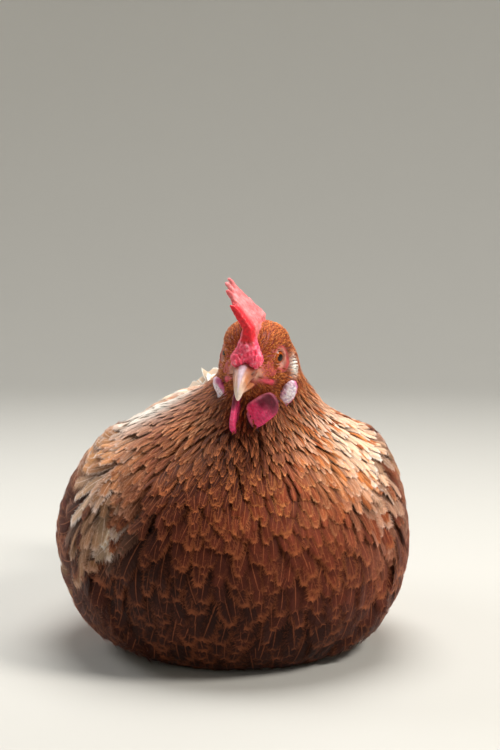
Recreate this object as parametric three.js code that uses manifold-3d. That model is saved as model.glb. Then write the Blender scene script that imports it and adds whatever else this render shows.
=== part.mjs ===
// A life-size resting hen: a still museum model, made of closed solids in millimetres.
// The hen faces -Y, +X is its left side, +Z is up, and it lies with its belly on the plane z = 0.
// The outer surface of the feathers is one signed distance field of smoothly joined eggs and cones.
// Trunk, neck, head, wings, thighs and tail mesh their own shares of it; thin gaps part neighbours.

import * as THREE from "three";
import { mergeVertices } from "three/addons/utils/BufferGeometryUtils.js";
import Module from "manifold-3d";

const wasm = await Module();
wasm.setup();

// ---------------------------------------------------------------- driving dimensions (mm, degrees)

const GAP = 0.5; // clear space between two parts that meet
const LAYER_GAP = 2.6; // the same under the wings and thighs, whose hidden faces are coarse
const CELL = { trunk: 19, hidden: 26, neck: 15, head: 6.6 }; // sizes of the facets
const BODY = { halfWidth: 105, length: 240, top: 148, widestHeight: 66, midY: 8, sunk: 26 };
const BREAST = { front: -112, y: -46, height: 72, halfWidth: 84 };
const SHOULDER = { y: -14, halfWidth: 34, halfLength: 42, rise: 36 };
const SHOULDER_TOP = { left: [53, 106], right: [45, 102] }; // x and height: the right wing lies lower
const SADDLE = { y: 92, height: 100, halfWidth: 64, reachY: 60, reachZ: 50 };
const FLUFF = { y: 72, height: 46, halfWidth: 76, reachY: 56, reachZ: 56 };
const NECK = { top: [11, -47, 171], topRadius: 20, base: [2, -30, 118], baseRadius: 57, blend: 32 };
const RUFF = { top: [16, -43, 178], topRadius: 17.5, base: [18, -34, 156], baseRadius: 25 }; // left nape
const HEAD = { centre: [4.2, -70, 185], yaw: -18, pitch: 10, roll: 2.5, halfWidth: 16.8 };
const EYE = { x: 10.6, y: 1.6, radius: 7, forward: 31, dish: 8.5 };
const COMB = { x: 1.5, thickness: 4.4, bevel: 1.3, lean: 0.71, leanFrom: 21.6, valley: 0.8 };
const WATTLE = { thickness: 1.8, width: 11.5, height: 13.5 };
const EARLOBE = { left: [20.8, 2.5, -22], right: [-18.6, 0, -22], thickness: 2.6, width: 5.2, height: 8.8 };
const WING = { depth: 9, stand: 4.5 };
const THIGH = { depth: 12, stand: 1.5 };
const LEG = { x: 33, hock: 80, ankle: 8, hockRadius: 8.5, ankleRadius: 6, clearance: 1.5 };
const TOE = { radius: 4.6, tipRadius: 3.2, claw: 11 };

const SIDES = [
  ["left", 1],
  ["right", -1],
];
const UP = new THREE.Vector3(0, 0, 1);
const radians = THREE.MathUtils.degToRad;

// ---------------------------------------------------------------- fields: point -> distance

// An egg: an ellipsoid whose radii differ below and above its centre along each axis.
function egg(centre, low, high = low) {
  return (p) => {
    let near = 0;
    let far = 0;
    for (let i = 0; i < 3; i++) {
      const d = p[i] - centre[i];
      const r = d < 0 ? low[i] : high[i];
      near += (d / r) ** 2;
      far += (d / (r * r)) ** 2;
    }
    const k = Math.sqrt(near);
    return far > 0 ? (k * (k - 1)) / Math.sqrt(far) : -Math.min(...low);
  };
}

// A rod from a to b with round ends, whose radius runs from ra to rb.
function cone(a, b, ra, rb) {
  const axis = b.map((v, i) => v - a[i]);
  const square = axis.reduce((sum, v) => sum + v * v, 0);
  return (p) => {
    const along = axis.reduce((sum, v, i) => sum + v * (p[i] - a[i]), 0) / square;
    const t = Math.min(1, Math.max(0, along));
    const off = axis.map((v, i) => p[i] - a[i] - v * t);
    return Math.hypot(...off) - (ra + (rb - ra) * t);
  };
}

function smoothLeast(a, b, blend) {
  const h = Math.max(0, blend - Math.abs(a - b)) / blend;
  return Math.min(a, b) - (h * h * blend) / 4;
}

const join = (blend, ...fields) => (p) =>
  fields.map((f) => f(p)).reduce((a, b) => smoothLeast(a, b, blend));
const grown = (field, by) => (p) => field(p) - by;

// The placing of a turned part: yaw about Z, then pitch about X, then roll about Y.
function placing(centre, { yaw = 0, pitch = 0, roll = 0 } = {}) {
  const turn = new THREE.Euler(radians(pitch), radians(roll), radians(yaw), "ZXY");
  return new THREE.Matrix4().makeRotationFromEuler(turn).setPosition(...centre);
}

// A field given in the local frame of a placing.
function placed(field, matrix) {
  const inverse = matrix.clone().invert();
  const q = new THREE.Vector3();
  return (p) => field(q.set(...p).applyMatrix4(inverse).toArray());
}

const headPlacing = placing(HEAD.centre, HEAD);

// ---------------------------------------------------------------- the outer surface of the hen

const shoulder = (sign, [x, z]) =>
  egg([sign * x, SHOULDER.y, z], [SHOULDER.halfWidth, SHOULDER.halfLength, SHOULDER.rise]);
const trunkField = join(
  26,
  egg(
    [0, BODY.midY, BODY.widestHeight],
    [BODY.halfWidth, BODY.midY - BREAST.front - 6, BODY.widestHeight + BODY.sunk],
    [BODY.halfWidth, BODY.length / 2, BODY.top - BODY.widestHeight],
  ),
  egg(
    [0, BREAST.y, BREAST.height],
    [BREAST.halfWidth, BREAST.y - BREAST.front, 70],
    [BREAST.halfWidth, 60, 66],
  ),
  egg([0, SADDLE.y, SADDLE.height], [SADDLE.halfWidth, SADDLE.reachY, SADDLE.reachZ]),
  egg([0, FLUFF.y, FLUFF.height], [FLUFF.halfWidth, FLUFF.reachY, FLUFF.reachZ]),
  shoulder(1, SHOULDER_TOP.left),
  shoulder(-1, SHOULDER_TOP.right),
);
const neckField = join(
  8,
  cone(NECK.base, NECK.top, NECK.baseRadius, NECK.topRadius),
  cone(RUFF.base, RUFF.top, RUFF.baseRadius, RUFF.topRadius),
);

// The head in its own frame: centre between the eyes, forward -Y.
const crown = (sign) => cone([sign * 6.5, 0, 6.5], [sign * 8.5, 12, 6], 8.6, 10.3);
const cheek = (sign) => cone([sign * 10.5, 7, -7], [sign * 11, 11, -13], 8.2, 7.6);
const gape = (sign) => cone([sign * 4.5, -14, -10.5], [sign * 8, -4, -11], 6, 9);
const headField = placed(
  join(
    12,
    join(
      7,
      egg([0, 6, 0], [HEAD.halfWidth, 23, 19], [HEAD.halfWidth, 20, 19]),
      cone([0, 2, -3], [0, -19, -4], 16, 7.8),
      cone([0, 10, -13], [0, -13, -12], 14, 6.4),
      gape(1),
      gape(-1),
      crown(1),
      crown(-1),
      cheek(1),
      cheek(-1),
    ),
    cone([0, 12, -14], [0, 18, -32], 16.5, 21),
  ),
  headPlacing,
);
const fleshField = join(NECK.blend, trunkField, join(14, neckField, headField));

// ---------------------------------------------------------------- meshing a field

// The eight corners of a cell as steps from its first, and the edges between them.
const CORNERS = [0, 1, 2, 3, 4, 5, 6, 7].map((m) => [m >> 2, (m >> 1) & 1, m & 1]);
const EDGES = CORNERS.flatMap((_, m) => [1, 2, 4].filter((bit) => !(m & bit)).map((bit) => [m, m | bit]));

// Whether the corners marked in an eight-bit mask hang together along the cell's edges.
function linked(mask) {
  let seen = mask & -mask;
  for (let round = 0; round < 7; round++)
    for (const [m, n] of EDGES) {
      const both = (1 << m) | (1 << n);
      if ((mask & both) === both && seen & both) seen |= both;
    }
  return seen === mask;
}
const CLEAR = Array.from({ length: 256 }, (_, mask) => linked(mask) && linked(255 - mask));

// Turns the zero surface of a field inside a box into a closed mesh, one vertex to each cell that the
// surface crosses, moved onto the surface along the field's slope. The box's walls close the surface.
function surface(field, [low, high], step) {
  const size = low.map((v, i) => Math.ceil((high[i] - v) / step) + 1);
  const at = (i, j, k) => [low[0] + i * step, low[1] + j * step, low[2] + k * step];
  const index = (i, j, k) => (i * size[1] + j) * size[2] + k;
  const value = new Float64Array(size[0] * size[1] * size[2]).fill(step / 8);
  const each = (from, visit) => {
    for (let i = from; i < size[0] - 1; i++)
      for (let j = from; j < size[1] - 1; j++) for (let k = from; k < size[2] - 1; k++) visit(i, j, k);
  };
  each(1, (i, j, k) => {
    value[index(i, j, k)] = field(at(i, j, k));
  });

  // A cell with two separate sheets would pinch them together, so its faintest corner changes sides.
  const cellOf = (i, j, k) => CORNERS.map(([a, b, c]) => index(i + a, j + b, k + c));
  const maskOf = (cell) => cell.reduce((mask, key, m) => mask | (value[key] < 0 ? 1 << m : 0), 0);
  for (let changed = true; changed; ) {
    changed = false;
    each(0, (i, j, k) => {
      const cell = cellOf(i, j, k);
      if (CLEAR[maskOf(cell)]) return;
      const inside = cell.filter((key) => value[key] < 0);
      const faint = inside.reduce((a, b) => (value[b] > value[a] ? b : a));
      value[faint] = step / 8;
      changed = true;
    });
  }

  const vertexOf = new Map();
  const points = [];
  each(0, (i, j, k) => {
    const cell = cellOf(i, j, k);
    const crossed = EDGES.filter(([m, n]) => value[cell[m]] < 0 !== value[cell[n]] < 0);
    if (!crossed.length) return;
    const sum = [0, 0, 0];
    for (const [m, n] of crossed) {
      const t = value[cell[m]] / (value[cell[m]] - value[cell[n]]);
      for (let q = 0; q < 3; q++) sum[q] += CORNERS[m][q] + t * (CORNERS[n][q] - CORNERS[m][q]);
    }
    const start = at(i, j, k).map((v, q) => v + (step * sum[q]) / crossed.length);
    vertexOf.set(cell[0], points.length);
    points.push(settled(field, start, step));
  });

  const triangles = [];
  const far = (a, b) => Math.hypot(...points[a].map((v, q) => v - points[b][q]));
  const quad = (a, b, c, d) => {
    if (far(a, c) <= far(b, d)) triangles.push(a, b, c, a, c, d);
    else triangles.push(b, c, d, b, d, a);
  };
  each(0, (i, j, k) => {
    const here = value[index(i, j, k)] < 0;
    for (const [a, b, c] of [
      [1, 0, 0],
      [0, 1, 0],
      [0, 0, 1],
    ]) {
      if (here === value[index(i + a, j + b, k + c)] < 0) continue;
      const cells = [
        index(i - b - c, j - c - a, k - a - b),
        index(i - b, j - c, k - a),
        index(i, j, k),
        index(i - c, j - a, k - b),
      ];
      const ring = (here ? cells : cells.reverse()).map((key) => vertexOf.get(key));
      quad(...ring);
    }
  });
  return solid(points.flat(), triangles);
}

// A point moved up to half a cell onto the field's zero surface.
function settled(field, start, step) {
  const small = step * 0.02;
  let p = start;
  for (let round = 0; round < 3; round++) {
    const v = field(p);
    const slope = p.map((_, q) => (field(p.map((x, n) => (n === q ? x + small : x))) - v) / small);
    const steep = slope.reduce((sum, s) => sum + s * s, 0);
    if (steep < 1e-6) break;
    p = p.map((x, q) => {
      const moved = x - (0.9 * v * slope[q]) / steep;
      return Math.min(start[q] + step / 2, Math.max(start[q] - step / 2, moved));
    });
  }
  return p;
}

// ---------------------------------------------------------------- solids

function solid(vertices, triangles) {
  const mesh = new wasm.Mesh({
    numProp: 3,
    vertProperties: new Float32Array(vertices),
    triVerts: new Uint32Array(triangles),
  });
  return new wasm.Manifold(mesh);
}

// A three.js geometry, placed by a matrix, as a solid.
function solidOf(geometry, matrix) {
  const bare = geometry.clone().applyMatrix4(matrix);
  bare.deleteAttribute("normal");
  bare.deleteAttribute("uv");
  const merged = mergeVertices(bare, 1e-4);
  return solid(Array.from(merged.attributes.position.array), Array.from(merged.index.array));
}

// An ellipsoid with the given radii, placed by a matrix.
function oval(radii, matrix, [around, rings] = [10, 7]) {
  const shape = new THREE.SphereGeometry(1, around, rings).scale(...radii);
  return solidOf(shape, matrix);
}

// A skin over successive rings of points, closed by flat ends.
function loft(points, sides) {
  const triangles = [];
  const end = points.length - sides;
  for (let n = 0; n < end; n += sides)
    for (let k = 0; k < sides; k++) {
      const [a, b] = [n + k, n + ((k + 1) % sides)];
      triangles.push(a, b + sides, b, a, a + sides, b + sides);
    }
  for (let k = 1; k + 1 < sides; k++) triangles.push(0, k, k + 1, end, end + k + 1, end + k);
  return solid(points.flat(), triangles);
}

// A closed tube through stations [x, y, z, half width, half height], with domed ends.
function sweep(stations, sides) {
  const last = stations.length - 1;
  const at = stations.map((s) => new THREE.Vector3(...s));
  const points = [];
  const ring = (n, scale, shift) => {
    const [wide, high = wide] = stations[n].slice(3);
    const ahead = at[Math.min(n + 1, last)].clone().sub(at[Math.max(n - 1, 0)]).normalize();
    const across = new THREE.Vector3().crossVectors(ahead, UP).normalize();
    const rise = new THREE.Vector3().crossVectors(across, ahead);
    for (let k = 0; k < sides; k++) {
      const turn = (2 * Math.PI * (k + 0.5)) / sides;
      const point = at[n]
        .clone()
        .addScaledVector(across, wide * scale * Math.cos(turn))
        .addScaledVector(rise, high * scale * Math.sin(turn))
        .addScaledVector(ahead, shift * Math.min(wide, high));
      points.push(point.toArray());
    }
  };
  ring(0, 0.65, -0.65);
  stations.forEach((_, n) => ring(n, 1, 0));
  ring(last, 0.65, 0.65);
  return loft(points, sides);
}

// Everything on the far side of a point along a direction, as a large block.
function halfSpace(point, direction) {
  const reach = 600;
  const n = new THREE.Vector3(...direction).normalize();
  const matrix = new THREE.Matrix4()
    .makeRotationFromQuaternion(new THREE.Quaternion().setFromUnitVectors(UP, n))
    .setPosition(new THREE.Vector3(...point).addScaledVector(n, reach / 2));
  return solidOf(new THREE.BoxGeometry(reach, reach, reach), matrix);
}

const without = (made, ...cuts) => cuts.reduce((left, cut) => left.subtract(cut), made);
const together = (...solids) => solids.reduce((a, b) => a.add(b));
const aboveFloor = halfSpace([0, 0, 0], [0, 0, 1]);

// ---------------------------------------------------------------- named parts

const hen = new THREE.Group();

// Adds the main body of a solid as a named mesh; a cut can leave slivers beside it.
function part(name, made, color, roughness) {
  const main = made.decompose().reduce((a, b) => (b.volume() > a.volume() ? b : a));
  const { vertProperties, triVerts } = main.getMesh();
  const geometry = new THREE.BufferGeometry()
    .setAttribute("position", new THREE.BufferAttribute(new Float32Array(vertProperties), 3))
    .setIndex(new THREE.BufferAttribute(new Uint32Array(triVerts), 1));
  geometry.computeVertexNormals();
  const material = new THREE.MeshStandardMaterial({ color, roughness, metalness: 0 });
  const mesh = new THREE.Mesh(geometry, material);
  mesh.name = name;
  hen.add(mesh);
}

const COLOR = {
  coat: 0x9c5a34,
  hackle: 0xa8622f,
  wing: 0x94502f,
  tail: 0xb4835c,
  comb: 0xc8202c,
  wattle: 0xa81f3c,
  earlobe: 0xcbb6d4,
  beak: 0xd8c09a,
  eye: 0x2a1408,
  shank: 0xd2ae6c,
  claw: 0xbfa888,
};

// ---------------------------------------------------------------- the head's small parts

// Each of these makes its solid grown by a margin: none for the part itself, GAP for its seat.
const onHead = (made) => made.transform(headPlacing.elements);

const upperBeak = (by = 0) =>
  onHead(
    sweep(
      [
        [0, -15, -4, 7.2 + by, 5.6 + by],
        [0, -24, -4, 6.4 + by, 5.6 + by],
        [0, -31, -5.8, 4.7 + by, 4.6 + by],
        [0, -37, -9.2, 2.9 + by, 3 + by],
        [0, -40.4, -13.4, 1.1 + by, 1.2 + by],
      ],
      10,
    ),
  );
const lowerBeak = (by = 0) =>
  onHead(
    sweep(
      [
        [0, -10, -11, 6.4 + by, 4.6 + by],
        [0, -22, -11.6, 5 + by, 3.4 + by],
        [0, -32, -12.6, 2.9 + by, 2.2 + by],
        [0, -36.2, -13.2, 1.4 + by, 1.2 + by],
      ],
      10,
    ),
  );

// The comb's outline from front to back: a low blade over the crown that carries the points.
const COMB_POINTS = [
  { y: -20, z: 33 },
  { y: -13, z: 40 },
  { y: -6, z: 44.5 },
  { y: 1.5, z: 45 },
  { y: 8, z: 31 },
  { y: 13, z: 24 },
];
function comb(by = 0) {
  const outline = new THREE.Shape();
  outline.moveTo(-29.5, 0);
  outline.lineTo(-28, 9);
  COMB_POINTS.forEach(({ y, z }, n) => {
    const before = COMB_POINTS[n - 1];
    if (before) outline.lineTo((y + before.y) / 2, COMB.valley * Math.min(z, before.z));
    outline.lineTo(y - 1.4, z - 1);
    outline.lineTo(y + 1.4, z - 1);
  });
  outline.lineTo(17.5, 17);
  outline.lineTo(14, 12);
  outline.lineTo(0, 14);
  outline.lineTo(-14, 7);
  outline.lineTo(-20, -1);
  const shape = new THREE.ExtrudeGeometry(outline, {
    depth: COMB.thickness - 2 * COMB.bevel,
    bevelThickness: COMB.bevel + by,
    bevelSize: COMB.bevel,
    bevelOffset: by - COMB.bevel,
    bevelSegments: 1,
  });
  shape.translate(0, 0, COMB.bevel - COMB.thickness / 2);
  // The outline's own axes become -Y and Z of the head; the top leans to the hen's right.
  const position = shape.attributes.position;
  for (let n = 0; n < position.count; n++) {
    const [y, z, x] = [position.getX(n), position.getY(n), position.getZ(n)];
    position.setXYZ(n, COMB.x + x - COMB.lean * Math.max(0, z - COMB.leanFrom), y, z);
  }
  return onHead(solidOf(shape, new THREE.Matrix4()));
}

const wattle = (side, by = 0) => {
  const hang = {
    left: placing([8.8, -15, -28], { yaw: 60, pitch: 20 }),
    right: placing([-6.2, -13, -29], { yaw: -2, roll: 4 }),
  };
  return onHead(oval([WATTLE.thickness + by, WATTLE.width + by, WATTLE.height + by], hang[side]));
};
const earlobe = (side, by = 0) => {
  const sign = Math.sign(EARLOBE[side][0]);
  const turn = { yaw: -46 * sign, roll: 24 * sign, pitch: -4 };
  const radii = [EARLOBE.thickness + by, EARLOBE.width + by, EARLOBE.height + by];
  return onHead(oval(radii, placing(EARLOBE[side], turn), [8, 6]));
};
const ball = (centre, radius, detail) => onHead(oval([radius, radius, radius], placing(centre), detail));
const eye = (sign, by = 0) => ball([sign * EYE.x, EYE.y, 0], EYE.radius + by, [12, 8]);
// The face is dished round each eye, so that only its front stands clear.
const orbit = (sign) => {
  const reach = EYE.dish + EYE.radius - 0.9;
  const [across, ahead] = [Math.cos(radians(EYE.forward)), Math.sin(radians(EYE.forward))];
  return ball([sign * (EYE.x + reach * across), EYE.y - reach * ahead, 0], EYE.dish);
};

// ---------------------------------------------------------------- wings, thighs and tail

const BOX = {
  trunk: [[-128, -130, -18], [128, 170, 190]],
  neck: [[-90, -135, 90], [90, 45, 205]],
  head: [[-45, -115, 135], [50, -20, 220]],
};

// Outlines seen from the side as [y, z], from the front over the top to the tip and back below.
const WING_OUTLINE = [
  [-69, 88],
  [-50, 122],
  [-10, 137],
  [40, 134],
  [90, 122],
  [150, 108],
  [152, 98],
  [100, 72],
  [40, 36],
  [-20, 8],
  [-56, 9],
  [-71, 46],
];
const THIGH_OUTLINE = [
  [20, 20],
  [48, 46],
  [90, 62],
  [112, 52],
  [112, 24],
  [96, 4],
  [60, -6],
  [26, -6],
];

// A block over one flank whose side view is the smooth curve through an outline.
function flankBlock(sign, outline, by = 0) {
  const curve = new THREE.CatmullRomCurve3(
    outline.map(([y, z]) => new THREE.Vector3(y, z, 0)),
    true,
    "centripetal",
  );
  const shape = new THREE.Shape(curve.getPoints(2 * outline.length).slice(0, -1));
  const block = new THREE.ExtrudeGeometry(shape, {
    depth: 110,
    bevelThickness: 0,
    bevelSize: 0,
    bevelOffset: by,
    bevelSegments: 0,
  });
  const facing = new THREE.Matrix4().makeBasis(
    new THREE.Vector3(0, 1, 0),
    new THREE.Vector3(0, 0, 1),
    new THREE.Vector3(1, 0, 0),
  );
  facing.setPosition(sign > 0 ? 44 : -154, 0, 0);
  return solidOf(block, facing);
}
const trunkLayer = (by, cell) => surface(grown(trunkField, by), BOX.trunk, cell);

// The tail is a tent: rings across it, each with its ridge height, floor height and half-width.
const TAIL = [
  { y: 92, ridge: 140, floor: 104, half: 30 },
  { y: 118, ridge: 145, floor: 92, half: 33 },
  { y: 145, ridge: 146, floor: 88, half: 30 },
  { y: 172, ridge: 147, floor: 91, half: 27 },
  { y: 196, ridge: 147, floor: 98, half: 29 },
  { y: 208, ridge: 145, floor: 104, half: 28 },
  { y: 215, ridge: 139, floor: 114, half: 22 },
];
function tail(by = 0) {
  const ring = ({ ridge, floor, half }) => {
    const side = [
      [0.12, 1],
      [0.5, 0.8],
      [0.86, 0.4],
      [1, 0.12],
      [0.8, 0],
      [0.4, 0.18],
    ];
    const points = side.map(([x, z]) => [x * half, floor + z * (ridge - floor)]);
    const across = [...points].reverse().map(([x, z]) => [-x, z]);
    return [...across, ...points].reverse().map(([x, z]) => {
      const middle = (ridge + floor) / 2;
      return [x * (1 + by / half), middle + (z - middle) * (1 + (2 * by) / (ridge - floor))];
    });
  };
  const last = TAIL.length - 1;
  const points = TAIL.flatMap((station, n) => {
    const y = station.y + (n === 0 ? -by : n === last ? by : 0);
    return ring(station).map(([x, z]) => [x, y, z]);
  });
  return loft(points, 12);
}

// ---------------------------------------------------------------- legs, folded flat under the belly

const shank = (sign, by = 0) =>
  sweep(
    [
      [sign * LEG.x, LEG.hock, 7, LEG.hockRadius + by],
      [sign * LEG.x, LEG.hock - 16, 6, LEG.ankleRadius + by],
      [sign * LEG.x, LEG.ankle, 5.5, LEG.ankleRadius + by],
    ],
    8,
  );
// Toes 1 to 4: the hind toe, then inner, middle and outer, by their spread from straight ahead.
const TOES = [
  { spread: 202, length: 20 },
  { spread: -25, length: 42 },
  { spread: 4, length: 54 },
  { spread: 26, length: 42 },
];
const alongToe = (sign, toe, reach, z) => [
  sign * (LEG.x + reach * Math.sin(radians(toe.spread))),
  LEG.ankle - 4 - reach * Math.cos(radians(toe.spread)),
  z,
];
const digit = (sign, toe, reach, by = 0) =>
  sweep(
    [
      [...alongToe(sign, toe, 0, 4.4), TOE.radius + by],
      [...alongToe(sign, toe, reach, 3), TOE.tipRadius + by],
    ],
    6,
  );
const claw = (sign, toe) =>
  sweep(
    [
      [...alongToe(sign, toe, toe.length + TOE.tipRadius + GAP, 3.2), 2.2],
      [...alongToe(sign, toe, toe.length + TOE.claw * 0.7, 3), 1.5],
      [...alongToe(sign, toe, toe.length + TOE.claw, 1.2), 0.6],
    ],
    6,
  );

// ---------------------------------------------------------------- assembly

const neckBase = { at: [0, -40, 128], up: [0, -0.42, 0.91] };
const neckTop = { at: [3.8, -57, 160], up: [-0.1, -0.36, 0.92] };
const beyond = ({ at, up }) => halfSpace(at.map((v, i) => v + (up[i] * GAP) / 2), up);
const before = ({ at, up }) => halfSpace(at.map((v, i) => v - (up[i] * GAP) / 2), up.map((v) => -v));

// Wing and thigh are plates over the flank, sunk into the trunk; the wing lies over the thigh.
const layers = (shape) => ({
  outer: trunkLayer(shape.stand, CELL.trunk),
  inner: trunkLayer(-shape.depth, CELL.hidden),
  seat: trunkLayer(-shape.depth - LAYER_GAP, CELL.hidden),
});
const wingLayers = layers(WING);
const thighLayers = layers(THIGH);
const pockets = [];
for (const [name, sign] of SIDES) {
  const wingRoom = flankBlock(sign, WING_OUTLINE, GAP);
  const thighRoom = flankBlock(sign, THIGH_OUTLINE, GAP);
  const wing = without(wingLayers.outer.intersect(flankBlock(sign, WING_OUTLINE)), wingLayers.inner);
  const thigh = thighLayers.outer.intersect(flankBlock(sign, THIGH_OUTLINE));
  part("wing_" + name, wing.intersect(aboveFloor), COLOR.wing, 0.75);
  part(
    "thigh_" + name,
    without(thigh, thighLayers.inner, wingRoom).intersect(aboveFloor),
    COLOR.coat,
    0.8,
  );
  pockets.push(without(wingRoom, wingLayers.seat), without(thighRoom, thighLayers.seat));
}
part("tail", tail(), COLOR.tail, 0.7);

const hollows = SIDES.flatMap(([, sign]) => [
  shank(sign, LEG.clearance),
  oval([36, 45, 14], placing([sign * (LEG.x + 4), LEG.ankle - 38, 0])),
  digit(sign, TOES[0], TOES[0].length + TOE.claw, LEG.clearance),
  digit(sign, TOES[2], 30, LEG.clearance),
]);
const trunk = surface(fleshField, BOX.trunk, CELL.trunk).intersect(before(neckBase)).intersect(aboveFloor);
part("trunk", without(trunk, tail(GAP), ...pockets, ...hollows), COLOR.coat, 0.8);

const hung = SIDES.flatMap(([name]) => [wattle(name, GAP), earlobe(name, GAP)]);
const neck = surface(fleshField, BOX.neck, CELL.neck).intersect(beyond(neckBase)).intersect(before(neckTop));
part("neck", without(neck, ...hung), COLOR.hackle, 0.8);

const sockets = [1, -1].flatMap((sign) => [orbit(sign), eye(sign, GAP)]);
const head = surface(fleshField, BOX.head, CELL.head).intersect(beyond(neckTop));
part(
  "head",
  without(head, ...hung, ...sockets, upperBeak(GAP), lowerBeak(GAP), comb(GAP)),
  COLOR.hackle,
  0.7,
);

part("beak_upper", without(upperBeak(), comb(GAP)), COLOR.beak, 0.35);
part("beak_lower", without(lowerBeak(), upperBeak(GAP)), COLOR.beak, 0.35);
part("comb", comb(), COLOR.comb, 0.5);
for (const [name, sign] of SIDES) {
  part("eye_" + name, eye(sign), COLOR.eye, 0.1);
  part("earlobe_" + name, earlobe(name), COLOR.earlobe, 0.6);
  part("wattle_" + name, without(wattle(name), lowerBeak(GAP), upperBeak(GAP)), COLOR.wattle, 0.5);
}

for (const [name, sign] of SIDES) {
  const foot = together(...TOES.map((toe) => digit(sign, toe, toe.length)));
  part("foot_" + name, foot.intersect(aboveFloor), COLOR.shank, 0.5);
  const roomy = together(...TOES.map((toe) => digit(sign, toe, toe.length, GAP)));
  part("shank_" + name, without(shank(sign), roomy).intersect(aboveFloor), COLOR.shank, 0.5);
  TOES.forEach((toe, n) => {
    part(`claw_${name}_${n + 1}`, claw(sign, toe).intersect(aboveFloor), COLOR.claw, 0.4);
  });
}

export default hen;
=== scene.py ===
"""A resting hen, dressed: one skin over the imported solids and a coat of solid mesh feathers.

Lengths are millimetres until a mesh is made, which turns them into metres. The hen faces -Y,
+X is its left side and the floor is z = 0. The skin and the coat both come from one field, the
distance to the outer surface of the feathers: the skin lies under its zero level by the coat's
depth, and every feather's shaft climbs from the skin to that level.
"""

import math

import bpy
import numpy as np
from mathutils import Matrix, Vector


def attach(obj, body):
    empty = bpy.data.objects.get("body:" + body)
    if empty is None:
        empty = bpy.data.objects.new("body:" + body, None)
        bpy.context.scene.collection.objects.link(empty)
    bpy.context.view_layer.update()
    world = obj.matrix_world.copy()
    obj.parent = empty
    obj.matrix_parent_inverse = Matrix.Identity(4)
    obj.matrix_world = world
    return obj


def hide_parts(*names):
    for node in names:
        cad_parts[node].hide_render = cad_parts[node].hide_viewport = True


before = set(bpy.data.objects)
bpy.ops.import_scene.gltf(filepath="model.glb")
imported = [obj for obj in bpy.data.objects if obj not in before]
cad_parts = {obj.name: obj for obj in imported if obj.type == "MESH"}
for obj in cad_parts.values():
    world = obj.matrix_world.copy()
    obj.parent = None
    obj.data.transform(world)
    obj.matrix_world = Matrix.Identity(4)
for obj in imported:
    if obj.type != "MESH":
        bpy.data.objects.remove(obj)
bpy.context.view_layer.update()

MM = 0.001
SIDES = {"left": 1, "right": -1}

# ------------------------------------------------------------------ driving dimensions (mm, degrees)

BELLY_REST = 0.6  # the coat's lowest level over the floor
FEATHER_REST = 0.3  # no part of a feather comes nearer to the floor than this
SKIN_SPAN = ((-118, 118), (-122, 172), (-4, 234))  # what the skin's grid covers along x, y and z
SKIN_CELL = {"fine": 0.65, "coarse": 5.5}
HEAD_BLOCK = ((-28, -114, 139), (38, -50, 231))  # low and high corner of the grid's fine stretch
HEAD = {"centre": (4.2, -70, 185), "yaw": -18, "pitch": 10, "roll": 2.5}
EYE = {"x": 10.6, "y": 1.6, "radius": 7.0, "forward": 31, "dish": 8.5}
LID = {"opening": 32, "thickness": 0.4}
COMB = {"x": 1.5, "lean": 0.71, "lean_from": 21.6}
COMB_POINTS = ((-20, 34.5), (-13, 41.5), (-6, 44.5), (1.5, 45), (8, 32.5), (13.5, 25.5))
WATTLE = {"width": 11.5, "height": 13.5}
WATTLE_CUTS = {"left": ((-0.8, -0.6, 0.62), (0.72, 0.69, 0.66)), "right": ()}  # (y, z, how far out)
EARLOBE = {"left": (20.8, 2.5, -22.0), "right": (-18.6, 0, -22), "width": 5.2, "height": 8.8}
WING_STAND = 4.5  # how far the folded wing stands out of the flank
WING_ENDS = (-71, 152)
WING_LOWER = ((-71, 9), (-20, 8), (40, 36), (100, 72), (152, 98))  # y, z
WING_UPPER = ((-71, 100), (-50, 122), (-10, 137), (40, 134), (90, 122), (152, 106))
QUILL_ENDS = (-66, 150)  # the stretch along which the flight feathers and their coverts lie
QUILL_FROM = 0.36  # the share of that stretch where the coat's own feathers end
TAIL = (
    # y, ridge height, floor height, half width
    (92, 140, 104, 30),
    (118, 145, 92, 33),
    (145, 146, 88, 30),
    (172, 147, 91, 27),
    (196, 147, 98, 29),
    (208, 145, 104, 28),
    (215, 139, 114, 22),
)
LEG = {"x": 33, "hock": 80, "ankle": 8}
TOES = ((202, 20), (-25, 42), (4, 54), (26, 42))  # spread from straight ahead, and length
NOSTRIL, NOSTRIL_LID = (5.4, -26.4, -3.6), (5.4, -26.2, -2.2)
UPPER_BILL = (
    # middle of the section, half width, half height
    (0, -13, -4, 7.4, 5.6),
    (0, -24, -4, 6.6, 5.6),
    (0, -31, -5.8, 4.9, 4.7),
    (0, -36.6, -9.0, 3.3, 3.2),
    (0, -39.6, -12.6, 2.0, 1.9),
    (0, -40.7, -15.0, 0.8, 0.7),
)
LOWER_BILL = (
    (0, -10, -11, 6.6, 4.4),
    (0, -22, -11.2, 5.1, 3.2),
    (0, -31, -11.3, 3.4, 2.2),
    (0, -36.4, -12.3, 1.3, 1.0),
)
CAMERA = {"azimuth": -6, "elevation": 6, "distance": 1030, "target": (3.1, -65, 173), "lens": 85}
FLOOR = {"flat": 1.4, "bend": 0.7, "wall": 1.6}  # metres: round floor, the sweep at its rim, the wall
LIGHTS = (
    # name, place, aim, width in metres, watts, colour
    ("sky", (0.15, 0.3, 1.5), (0, -0.02, 0.1), 1.1, 25, (1.0, 0.98, 0.95)),
    ("key", (0.95, -0.6, 1.15), (0, -0.05, 0.12), 0.5, 17, (1.0, 0.95, 0.88)),
    ("rim", (-0.9, 0.6, 0.8), (0, 0, 0.12), 0.6, 5, (0.98, 0.98, 1.0)),
)

# ------------------------------------------------------------------ small maths


def unit(v):
    return v / np.maximum(np.linalg.norm(v, axis=-1, keepdims=True), 1e-9)


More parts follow.
